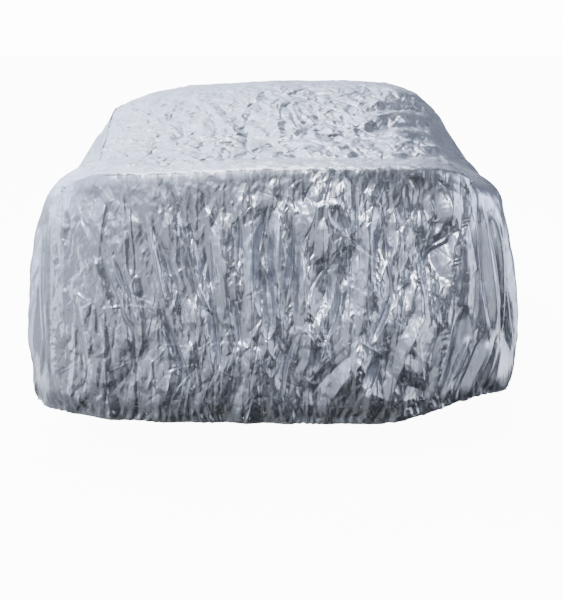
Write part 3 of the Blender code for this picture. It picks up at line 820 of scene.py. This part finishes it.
def edge_distances(points):
    """Distances along the cloth to the first and last row and the first and last column."""
    up = np.linalg.norm(np.diff(points, axis=0), axis=2)
    across = np.linalg.norm(np.diff(points, axis=1), axis=2)
    no_row, no_column = np.zeros((1, up.shape[1])), np.zeros((across.shape[0], 1))
    from_first_row = np.concatenate([no_row, np.cumsum(up, axis=0)])
    from_first_column = np.concatenate([no_column, np.cumsum(across, axis=1)], axis=1)
    to_last_row = from_first_row[-1:] - from_first_row
    to_last_column = from_first_column[:, -1:] - from_first_column
    return from_first_row, to_last_row, from_first_column, to_last_column


def lengthwise(points):
    """Distance along the cloth from its first row, the same for a whole row."""
    middle = points[:, points.shape[1] // 2]
    steps = np.linalg.norm(np.diff(middle, axis=0), axis=1)
    return np.concatenate([[0], np.cumsum(steps)])[:, None]


def outward(points):
    """Unit normals of a grid of points."""
    normal = np.cross(np.gradient(points, axis=1), np.gradient(points, axis=0))
    return unit(normal)


UPPER_LENGTH = float(lengthwise(surfaces["upper"])[-1, 0])
print("from the lip to the top of the roof:", round(UPPER_LENGTH, 3), "m of cloth")

# %% Puckers and pleats
PUCKER_PITCH, PUCKER_HEIGHT, PUCKER_REACH = 0.024, 0.0010, 0.018
GATHER_PITCH, GATHER_HEIGHT, GATHER_REACH = 0.032, 0.0045, 0.13
WIDE_GATHER_PITCH, WIDE_GATHER_HEIGHT = 0.165, 0.006
TIGHT = 0.03  # this close to the elastic the pleats are drawn flat again


def puckers(along, away):
    """The small waves that a sewn seam draws into the cloth beside it."""
    uneven = 4.0 * drift(along, 0 * along, 0.11, 41)
    wave = np.sin(2 * np.pi * (along + 0.4 * away) / PUCKER_PITCH + uneven)
    size = 0.5 + 0.9 * drift(along, away, 0.09, 43)
    return PUCKER_HEIGHT * size * wave * np.exp(-((away / PUCKER_REACH) ** 2))


def gathers(across, above_hem):
    """The pleats that the elastic draws into the hem, small ones on wide ones."""
    sway = 1.7 * np.sin(4.1 * across)
    wide = WIDE_GATHER_HEIGHT * np.sin(2 * np.pi * across / WIDE_GATHER_PITCH + sway)
    uneven = 5.0 * drift(across, 0.6 * above_hem, 0.23, 51)
    size = 0.55 + 0.7 * drift(across, above_hem, 0.17, 53)
    small = GATHER_HEIGHT * size * np.sin(2 * np.pi * across / GATHER_PITCH + uneven)
    tight = 0.35 + 0.65 * ease(above_hem / TIGHT)
    return (wide + small) * ease(1 - above_hem / GATHER_REACH) * tight


trial = gathers(np.linspace(-1, 1, 500), 0.04)
print("pleats 4 cm above the hem:", trial.min().round(4), "to", trial.max().round(4), "m")

# %% [markdown]
# ## How far each part stands out
#
# Each part now gets its own sum of folds, crumples, puckers and pleats: a distance out from the smooth
# surface, in metres. A displace modifier could do it with textures, but here every term can be faded by
# what is near it. A crumple on the side of a placed crease would break its line, so there the crumples
# are held back.

# %% The rear
LONG_TAPER, CREASE_DEPTH = 0.40, 1.10
# How far from the lip the folds, the creases and the puckers reach their full depth.
FOLDS_FULL, CREASES_FULL, PUCKERS_FULL = 0.09, 0.05, 0.03
# The crumples grow this many times faster away from a seam than away from the lip.
SEAM_GROWTH, UPPER_SEAM_GROWTH = 2.0, 1.5
# Left of the middle, a band this deep under the lip is pulled smooth.
SMOOTH_BAND, BAND_END, BAND_FADE = 0.030, 0.15, 0.25
# A crease of this depth takes most of the crumples off its sides, and the elastic does near the hem.
CREASE_CALM, CALM_DEPTH = 0.75, 0.008
HEM_CRUMPLE, HEM_FADE = 0.3, 0.04
# The right part has large plates of its own, which grow in from here.
RIGHT_START, RIGHT_FADE = -0.05, 0.35


def rear_rise(points):
    """How far out each point of the hanging rear stands."""
    x, _, height = np.moveaxis(points, 2, 0)
    above_hem, below_lip, from_left, to_right = edge_distances(points)
    to_seam = np.minimum(from_left, to_right)
    rise = folds(REAR_FOLDS, x, height, LONG_TAPER) * ease(below_lip / FOLDS_FULL)
    placed = CREASE_DEPTH * folds(REAR_CREASES, x, height, LONG_TAPER, CREASE_LEAN)
    placed = placed * ease(below_lip / CREASES_FULL)
    rise += placed
    edge = np.minimum(SEAM_GROWTH * to_seam, below_lip - SMOOTH_BAND * ease((BAND_END - x) / BAND_FADE))
    calm = 1 - CREASE_CALM * np.minimum(np.abs(placed) / CALM_DEPTH, 1)
    calm = calm * (HEM_CRUMPLE + (1 - HEM_CRUMPLE) * ease(above_hem / HEM_FADE))
    crumples = crumple(REAR_PLATES, REAR_STROKES, x, height, edge)
    rise += crumples * spots(REAR_SPOTS, x, height) * calm
    large = crumple(RIGHT_PLATES, [], x, height, edge)
    rise += large * calm * ease((x - RIGHT_START) / RIGHT_FADE)
    rise += gathers(x, above_hem)
    return rise + puckers(height, to_seam) * ease(below_lip / PUCKERS_FULL)


# %% The upper side
UPPER_DEPTH = 0.70
# The strip above the lip is smooth over this breadth, and over 0.55 of it on the left.
STRIP, STRIP_LEFT, STRIP_MORE, STRIP_FADE = 0.105, 0.55, 0.45, 0.07
WIDENS, WIDENS_OVER = -0.35, 0.30
PLACED_START, PLACED_FADE, PLACED_SEAM = 0.08, 0.09, 0.05
UPPER_CREASE_CALM, UPPER_CALM_DEPTH, LIP_FADE = 0.6, 0.012, 0.012


def upper_rise(points):
    """How far out each point of the boot lid, rear window and roof stands."""
    x, place, _ = np.moveaxis(points, 2, 0)
    from_lip, _, from_left, to_right = edge_distances(points)
    along = np.broadcast_to(lengthwise(points), x.shape)
    to_seam = np.minimum(from_left, to_right)
    placed = UPPER_DEPTH * folds(UPPER_FOLDS + UPPER_CREASES, x, place, LONG_TAPER)
    rise = placed * ease((from_lip - PLACED_START) / PLACED_FADE) * ease(to_seam / PLACED_SEAM)
    breadth = STRIP * (STRIP_LEFT + STRIP_MORE * ease((x - WIDENS) / WIDENS_OVER))
    calm = (0.01 + 0.99 * ease((from_lip - breadth) / STRIP_FADE)) * ease(from_lip / LIP_FADE)
    calm = calm * (1 - UPPER_CREASE_CALM * ease(np.abs(placed) / UPPER_CALM_DEPTH))
    crumples = crumple(UPPER_PLATES, UPPER_STROKES, x, along, UPPER_SEAM_GROWTH * to_seam)
    rise += crumples * spots(UPPER_SPOTS, x, place) * calm
    return rise + puckers(place, to_seam) * ease(from_lip / PUCKERS_FULL)


# %% The roof's front half, windscreen, bonnet and front
BONNET_CALM, BONNET_START, BONNET_FADE = 0.4, 0.5, 0.4


def front_rise(points):
    """How far out each point of the front half stands, its last rows being the front end."""
    x, place, height = np.moveaxis(points, 2, 0)
    _, above_hem, from_left, to_right = edge_distances(points)
    along = np.broadcast_to(lengthwise(points) + UPPER_LENGTH, x.shape)
    to_seam = np.minimum(from_left, to_right)
    end_rows = slice(-FRONT_ROWS - 1, None)
    rise = folds(FRONT_UPPER_FOLDS, x, place)
    rise[end_rows] = 0
    below_edge = height[end_rows].max(axis=0) - height[end_rows]
    rise[end_rows] += folds(FRONT_FOLDS, x[end_rows], height[end_rows]) * ease(below_edge / FOLDS_FULL)
    calm = 1 - BONNET_CALM * ease((place - BONNET_START) / BONNET_FADE)
    crumples = crumple(UPPER_PLATES, UPPER_STROKES, x, along, UPPER_SEAM_GROWTH * to_seam)
    rise += crumples * spots(UPPER_SPOTS, x, place) * calm
    rise += gathers(x, above_hem)
    return rise + puckers(place, to_seam)


# %% The flanks
SHORT_TAPER, CORNER_DEPTH = 0.16, 1.20
# Narrow columns hang round the rear corner, where the crumples are held back.
COLUMNS_FROM, FROM_FADE, COLUMNS_TO, TO_FADE, COLUMN_CALM = 0.73, 0.03, 0.98, 0.08, 0.85
LEFT_CRUMPLES = 9.0  # the left flank takes its crumples from this much further on


def side_rise(points, side):
    """How far out each point of a flank stands."""
    right = side == "right"
    x, place, height = np.moveaxis(points, 2, 0)
    above_hem, below_seam, from_rear, to_front = edge_distances(points)
    steps = np.hypot(np.diff(x, axis=1), np.diff(place, axis=1))
    first = np.abs(x[:, :1])
    round_corner = np.concatenate([first, first + np.cumsum(steps, axis=1)], axis=1)
    to_end = np.minimum(from_rear, to_front)
    long_folds = FLANK_FOLDS if right else moved_on(FLANK_FOLDS, LEFT_SHIFT)
    rise = folds(long_folds, round_corner, height) * ease((height[-1:] - height) / FOLDS_FULL)
    corner_creases = RIGHT_CREASES if right else LEFT_CREASES
    rise += CORNER_DEPTH * folds(corner_creases, round_corner, height, SHORT_TAPER)
    columns = ease((round_corner - COLUMNS_FROM) / FROM_FADE)
    columns = columns * ease((COLUMNS_TO - round_corner) / TO_FADE)
    elsewhere = round_corner + (0 if right else LEFT_CRUMPLES)
    edge = SEAM_GROWTH * np.minimum(below_seam, to_end)
    crumples = crumple(SIDE_PLATES, SIDE_STROKES, elsewhere, height, edge)
    rise += crumples * (1 - COLUMN_CALM * columns)
    rise += gathers(round_corner, above_hem)
    return rise + puckers(place, below_seam) + puckers(height, to_end)


# %% Folding the sheets
# The tables measure heights from the ground, and the frame from the underside of the roof.
LOWERED = np.array([0, 0, -GROUND])
sheets = {}
for name, points in surfaces.items():
    out = outward(points) * (-1 if name == "left" else 1)
    if name in ("right", "left"):
        rise = side_rise(points, name)
    else:
        rise = {"rear": rear_rise, "upper": upper_rise, "front": front_rise}[name](points)
    sheets[name] = points + out * rise[..., None] - LOWERED
    print(name, "stands out", rise.min().round(4), "to", rise.max().round(4), "m")

# %% [markdown]
# ## The rounded lip
#
# The edge of the boot lid shows through the cloth as one crisp line, a little softer on the left, and
# round at both corners. A bevel would need the three meshes that meet there to be one. Instead the last
# few centimetres on each side of the line are drawn in along the other side's direction, by a depth and
# over a reach that change along it, so both edges still share their points.

# %% Rounding the lip
# Depth and reach of the hanging part on the left, on the right and at the ends, and of the upper side.
LIP_LEFT, LIP_RIGHT, LIP_CORNER = (0.0015, 0.030), (0.0006, 0.018), (0.005, 0.050)
LIP_DOWN = (0.0006, 0.008)
LIP_TURN, LIP_TURN_OVER, LIP_END, LIP_END_OVER, LIP_SEAM = 0.15, 0.30, 0.50, 0.22, 0.09


def lip_curve(x, part, at_left, at_right, at_corner):
    """A depth (part 0) or a reach (part 1) along the lip."""
    leftness = ease((LIP_TURN - x) / LIP_TURN_OVER)
    middle = at_right[part] + (at_left[part] - at_right[part]) * leftness
    return middle + (at_corner[part] - middle) * ease((np.abs(x) - LIP_END) / LIP_END_OVER)


def rounded(points, away, to_seam, back_in, down_in, upper_side):
    """Points near the lip drawn in: the hanging part curves over to it, and both do near its ends."""
    x = points[..., 0]
    back = lip_curve(x, 0, LIP_LEFT, LIP_RIGHT, LIP_CORNER)[..., None] * back_in
    down = lip_curve(x, 0, LIP_DOWN, LIP_DOWN, LIP_CORNER)[..., None] * down_in
    left, right = (LIP_DOWN, LIP_DOWN) if upper_side else (LIP_LEFT, LIP_RIGHT)
    reach = lip_curve(x, 1, left, right, LIP_CORNER)
    share = np.maximum(1 - away / reach, 0) ** 2 * ease(to_seam / LIP_SEAM)
    return points + share[..., None] * (back + down)


back_in, down_in = -outward(surfaces["rear"])[-1], -outward(surfaces["upper"])[0]
down_in = np.repeat(down_in, UPPER_STEP, axis=0)[: len(shares)]
for name, lip, every in (("rear", 1, 1), ("upper", 0, UPPER_STEP)):
    distances = edge_distances(surfaces[name])
    to_seam, smooth = np.minimum(distances[2], distances[3]), sheets[name]
    directions = back_in[::every], down_in[::every]
    sheets[name] = rounded(smooth, distances[lip], to_seam, *directions, name == "upper")
    print(name, "drawn in by up to", round(1000 * float(np.abs(sheets[name] - smooth).max()), 1), "mm")

# %% [markdown]
# ## The cloth's finish
#
# The cloth is plain-woven polyester taffeta with a thin polyurethane coat full of aluminium flakes. The
# flakes make it nearly metal to the eye: it mirrors the sky softly, and each facet takes the brightness
# of what it faces. The coat is satin, with a roughness of about 0.3 that varies a little where it is
# rubbed. The threads lie 0.25 mm apart, far below a pixel, so the weave is drawn 25 times as coarse and
# very shallow. Crumples that are too small for the mesh are a bump of flat, tilted cells.

# %% Colours and nodes


def linear(hex_colour):
    """An sRGB hex value as linear red, green, blue and alpha."""
    parts = (int(hex_colour[i : i + 2], 16) / 255 for i in (1, 3, 5))
    rgb = (part / 12.92 if part <= 0.04045 else ((part + 0.055) / 1.055) ** 2.4 for part in parts)
    return (*rgb, 1.0)


def add_node(tree, kind, settings=None, **inputs):
    """Adds a shader node. settings are its properties; an input is a value or another node's output."""
    node = tree.nodes.new("ShaderNode" + kind)
    for name, value in (settings or {}).items():
        setattr(node, name, value)
    for name, value in inputs.items():
        socket = node.inputs[int(name[1:]) if name[1:].isdigit() else name.replace("_", " ")]
        if isinstance(value, bpy.types.NodeSocket):
            tree.links.new(value, socket)
        else:
            socket.default_value = value
    return node


SILVER_COAT, SILVER_RUBBED = "#C4C8CF", "#B3B8C0"
print("silver coat, linear:", metres(linear(SILVER_COAT)))

# %% Silver-coated taffeta
CLOUD_BREADTH = 0.2
COAT_METALLIC, COAT_SATIN, COAT_WORN = 0.92, 0.26, 0.35

cloth = bpy.data.materials.new("silver_coated_taffeta")
cloth.use_nodes = True
tree = cloth.node_tree
shader = tree.nodes["Principled BSDF"]
shader.inputs["Metallic"].default_value = COAT_METALLIC
place = add_node(tree, "TexCoord").outputs["Object"]
cloud = add_node(tree, "TexNoise", Vector=place, Scale=1 / CLOUD_BREADTH, Detail=4.0, Roughness=0.6)
cloud = cloud.outputs["Fac"]
coat = {"_6": linear(SILVER_COAT), "_7": linear(SILVER_RUBBED)}
tone = add_node(tree, "Mix", {"data_type": "RGBA"}, _0=cloud, **coat)
tree.links.new(tone.outputs[2], shader.inputs["Base Color"])
worn = {"From_Min": 0.3, "From_Max": 0.7, "To_Min": COAT_SATIN, "To_Max": COAT_WORN}
rub = add_node(tree, "MapRange", Value=cloud, **worn)
tree.links.new(rub.outputs["Result"], shader.inputs["Roughness"])
print("material", cloth.name)

# %% Weave
# A band of the wave texture is 2 pi / (20 x Scale) long. Threads 0.25 mm apart would not show, so they
# are drawn about 25 times as coarse, 6.3 mm apart.
THREAD_PITCH, COARSER = 0.00025, 8 * math.pi
WAVE_SCALE = 2 * math.pi / (20 * THREAD_PITCH * COARSER)

bands = {"Vector": place, "Scale": WAVE_SCALE, "Distortion": 0.4}
warp, weft = (add_node(tree, "TexWave", {"bands_direction": axis}, **bands) for axis in "XZ")
weave = add_node(
    tree, "Math", {"operation": "MULTIPLY"}, _0=warp.outputs["Fac"], _1=weft.outputs["Fac"]
)
normal = add_node(tree, "Bump", Height=weave.outputs[0], Strength=0.2, Distance=0.0003)
print("weave drawn", round(1000 * THREAD_PITCH * COARSER, 1), "mm apart")

# %% Crumples too small for the mesh
# Cells of 22 and 10 mm across and three times as tall, each a plane tilted by the cell's own colour.
# They are given as cells per metre and as how far a full tilt would rise over a metre.
FINE_CELLS = ((45.0, 0.20), (95.0, 0.14))
SHORTER, SWAYS_PER_METRE, SWAY = (1.0, 1.0, 0.30), 18.0, (0.02, 0.02, 0.02)
TIMES_PLUS, MINUS, DOT = ({"operation": name} for name in ("MULTIPLY_ADD", "SUBTRACT", "DOT_PRODUCT"))

upright = add_node(tree, "Mapping", Vector=place, Scale=SHORTER).outputs[0]
sway = add_node(tree, "TexNoise", Vector=place, Scale=SWAYS_PER_METRE, Detail=2.0).outputs["Color"]
bent = add_node(tree, "VectorMath", TIMES_PLUS, _0=sway, _1=SWAY, _2=upright).outputs[0]
for per_metre, depth in FINE_CELLS:
    cell = add_node(tree, "TexVoronoi", Vector=bent, Scale=per_metre).outputs
    tilt = add_node(tree, "VectorMath", MINUS, _0=cell["Color"], _1=(0.5, 0.5, 0.5)).outputs[0]
    off = add_node(tree, "VectorMath", MINUS, _0=bent, _1=cell["Position"]).outputs[0]
    plane = add_node(tree, "VectorMath", DOT, _0=off, _1=tilt).outputs["Value"]
    normal = add_node(tree, "Bump", Height=plane, Distance=depth, Normal=normal.outputs[0], Strength=1.0)
tree.links.new(normal.outputs["Normal"], shader.inputs["Normal"])
print(len(FINE_CELLS), "sizes of fine crumples, the cloth has", len(tree.nodes), "nodes")

# %% [markdown]
# ## Pieces
#
# Each grid becomes a mesh. The centre panel is one piece of cloth, but it is drawn as four meshes, which
# meet at the boot lip, down the middle of the rear and on the roof, because one would be too heavy. They
# share the points where they meet. The flanks' edges tuck under the centre panel, as the seam allowance
# does in the sewn cover.

# %% Seam allowance
TUCK, TUCK_DEPTH = 0.009, 0.0015
EVERY = slice(None)
SEWN_EDGES = (((EVERY, 0), (EVERY, 2)), ((EVERY, -1), (EVERY, -3)), ((-1,), (-3,)))


def tuck_under(points, out):
    """Moves a flank's three sewn edges a little way in under the centre panel."""
    for edge, inner in SEWN_EDGES:
        outwards = unit(points[edge] - points[inner])
        points[edge] = points[edge] + outwards * TUCK - out[edge] * TUCK_DEPTH


facing = {name: outward(points) * (-1 if name == "left" else 1) for name, points in sheets.items()}
for side in ("right", "left"):
    tuck_under(sheets[side], facing[side])
print("flanks tucked", round(1000 * TUCK), "mm under the centre panel")

# %% Meshes


def make_piece(name, points, out, node):
    """A sheet of square faces through a grid of points, with the normals of the whole cloth."""
    rows, columns = points.shape[:2]
    index = np.arange(rows * columns).reshape(rows, columns)
    corners = [index[:-1, :-1], index[:-1, 1:], index[1:, 1:], index[1:, :-1]]
    faces = np.stack(corners[::-1] if name == "flank_left" else corners, axis=2).reshape(-1, 4)
    mesh = bpy.data.meshes.new(name)
    mesh.from_pydata(points.reshape(-1, 3).tolist(), [], faces.tolist())
    mesh.shade_smooth()
    mesh.normals_split_custom_set_from_vertices(out.reshape(-1, 3).tolist())
    mesh.materials.append(cloth)
    piece = bpy.data.objects.new(name, mesh)
    bpy.context.scene.collection.objects.link(piece)
    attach(piece, "root")
    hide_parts(node)
    print(name, 2 * len(faces), "triangles")


# The flat sizes are the cloth's own, measured along the shape with 5 to 15 % more for what the folds,
# the crumples and the gathered hem take up.
PIECE_COLUMNS = "name sheet columns node flat"
HALF = REAR_COLUMNS // 2
PIECES = [
    ("centre_rear_left", "rear", slice(None, HALF + 1), "centre_panel", (0.84, 1.04)),
    ("centre_rear_right", "rear", slice(HALF, None), "centre_panel", (0.84, 1.04)),
    ("centre_upper", "upper", EVERY, "centre_panel", (1.52, 2.28)),
    ("centre_front", "front", EVERY, "centre_panel", (1.52, 3.20)),
    ("flank_right", "right", EVERY, "side_panel_right", (5.40, 1.12)),
    ("flank_left", "left", EVERY, "side_panel_left", (5.40, 1.12)),
]
for row in PIECES:
    piece = dict(zip(PIECE_COLUMNS.split(), row))
    points, out = (values[piece["sheet"]][:, piece["columns"]] for values in (sheets, facing))
    make_piece(piece["name"], points, out, piece["node"])

# %% [markdown]
# ## Floor, light and sky
#
# Silver cloth shows what stands round it, so the light is half of the finish. Two large soft lamps hang
# high up, one behind the camera and one over the front end. The sky is graded twice: by height, dark near
# the ground, pale above and darker again straight up, and from left to right, bright at both ends with a
# dark stretch right of the middle. The facets that lean that way turn dark, and that draws every crease.
# The floor is plain and pale, and is kept out of the cloth's reflections, where it would fill the
# undersides of the folds with light that a real yard doesn't give.

# %% Floor
FLOOR_SIZE, FLOOR_GLOW = 400, 11.0
bpy.ops.mesh.primitive_plane_add(size=FLOOR_SIZE, location=(0, 0, GROUND))
floor = bpy.context.object
floor.name = "floor"
floor_paint = bpy.data.materials.new("matt_white_floor")
floor_paint.use_nodes = True
floor_shader = floor_paint.node_tree.nodes["Principled BSDF"]
floor_shader.inputs["Base Color"].default_value = linear("#F2F2F2")
floor_shader.inputs["Roughness"].default_value = 0.9
floor_shader.inputs["Emission Color"].default_value = linear("#FFFFFF")
floor_shader.inputs["Emission Strength"].default_value = FLOOR_GLOW
floor.data.materials.append(floor_paint)
floor.visible_glossy = False
floor.visible_diffuse = False
floor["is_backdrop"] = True
print("floor at", GROUND, "m")

# %% Sky by height
# From 0, straight down, to 1, straight up; 0.5 is level.
SKY = [
    (0.00, "#3E3E3C"),
    (0.25, "#585A5E"),
    (0.35, "#8A8D94"),
    (0.41, "#888B92"),
    (0.49, "#5E6066"),
    (0.53, "#696D79"),
    (0.58, "#8C92A2"),
    (0.66, "#B6BED4"),
    (0.82, "#C6CEE4"),
    (0.88, "#A4ACC2"),
    (0.95, "#6C7484"),
    (1.00, "#5A6272"),
]
world = bpy.data.worlds.new("studio")
bpy.context.scene.world = world
world.use_nodes = True
sky = world.node_tree
background = sky.nodes["Background"]
ray = add_node(sky, "TexCoord").outputs["Generated"]
parts = add_node(sky, "SeparateXYZ", Vector=ray)
height = add_node(sky, "MapRange", Value=parts.outputs["Z"], From_Min=-1.0)
ramp = add_node(sky, "ValToRGB", Fac=height.outputs[0])
while len(ramp.color_ramp.elements) < len(SKY):
    ramp.color_ramp.elements.new(0.5)
for element, (position, colour) in zip(ramp.color_ramp.elements, SKY):
    element.position = position
    element.color = linear(colour)
sky.links.new(ramp.outputs["Color"], background.inputs["Color"])
print("sky in", len(SKY), "steps of height")

# %% Sky from left to right
# From 0, far left, to 1, far right: how strong the light is. Ahead of the cover it is stronger again.
ASIDE = [(0.00, 12.0), (0.03, 9.0), (0.08, 3.0), (0.20, 3.9), (0.42, 2.6), (0.50, 1.65)]
ASIDE += [(0.61, 0.54), (0.84, 0.42), (0.88, 1.5), (0.93, 6.5), (1.00, 12.0)]
BRIGHTEST = max(level for _, level in ASIDE)
AHEAD = {"From_Min": 0.1, "From_Max": 0.9, "To_Min": 1.0, "To_Max": 2.6}

ahead = add_node(sky, "MapRange", Value=parts.outputs["Y"], **AHEAD)
left_to_right = add_node(sky, "MapRange", Value=parts.outputs["X"], From_Min=-1.0)
aside = add_node(sky, "FloatCurve", Value=left_to_right.outputs[0])
curve = aside.mapping.curves[0]
for position, level in ASIDE[1:-1]:
    curve.points.new(position, level / BRIGHTEST)
for end in (0, -1):
    curve.points[end].location = (ASIDE[end][0], ASIDE[end][1] / BRIGHTEST)
aside.mapping.update()
strength = ahead.outputs[0]
for factor in (aside.outputs[0], BRIGHTEST):
    strength = add_node(sky, "Math", {"operation": "MULTIPLY"}, _0=strength, _1=factor).outputs[0]
sky.links.new(strength, background.inputs["Strength"])
print("light from the side", min(level for _, level in ASIDE), "to", BRIGHTEST)

# %% Backdrop
# The camera sees a plain white backdrop in place of that sky.
BACKDROP_STRENGTH = 14.0
white = {"Color": linear("#FFFFFF"), "Strength": BACKDROP_STRENGTH}
plain = add_node(sky, "Background", **white).outputs[0]
seen = add_node(sky, "LightPath").outputs["Is Camera Ray"]
mixed = add_node(sky, "MixShader", _0=seen, _1=background.outputs[0], _2=plain)
sky.links.new(mixed.outputs[0], sky.nodes["World Output"].inputs["Surface"])
print("world", world.name)


# %% Lamps
def soft_lamp(name, location, aim, width, length, watts):
    """A rectangular lamp that faces a point."""
    data = bpy.data.lights.new(name, "AREA")
    data.shape, data.size, data.size_y, data.energy = "RECTANGLE", width, length, watts
    lamp = bpy.data.objects.new(name, data)
    lamp.location = location
    direction = np.array(location) - np.array(aim)
    tilt = math.acos(direction[2] / np.linalg.norm(direction))
    lamp.rotation_euler = (tilt, 0, math.atan2(direction[0], -direction[1]))
    bpy.context.scene.collection.objects.link(lamp)
    print("lamp", name, watts, "W")


soft_lamp("ahead", (-1.0, 3.2, 7.5), (0, -1.0, 0), 4.0, 2.4, 350)
soft_lamp("behind_camera", (-1.5, -9.5, 5.5), (0, -2, -0.6), 3.2, 1.8, 800)

# %% Sizes
low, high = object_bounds()
print("visual model from", metres(low), "to", metres(high))
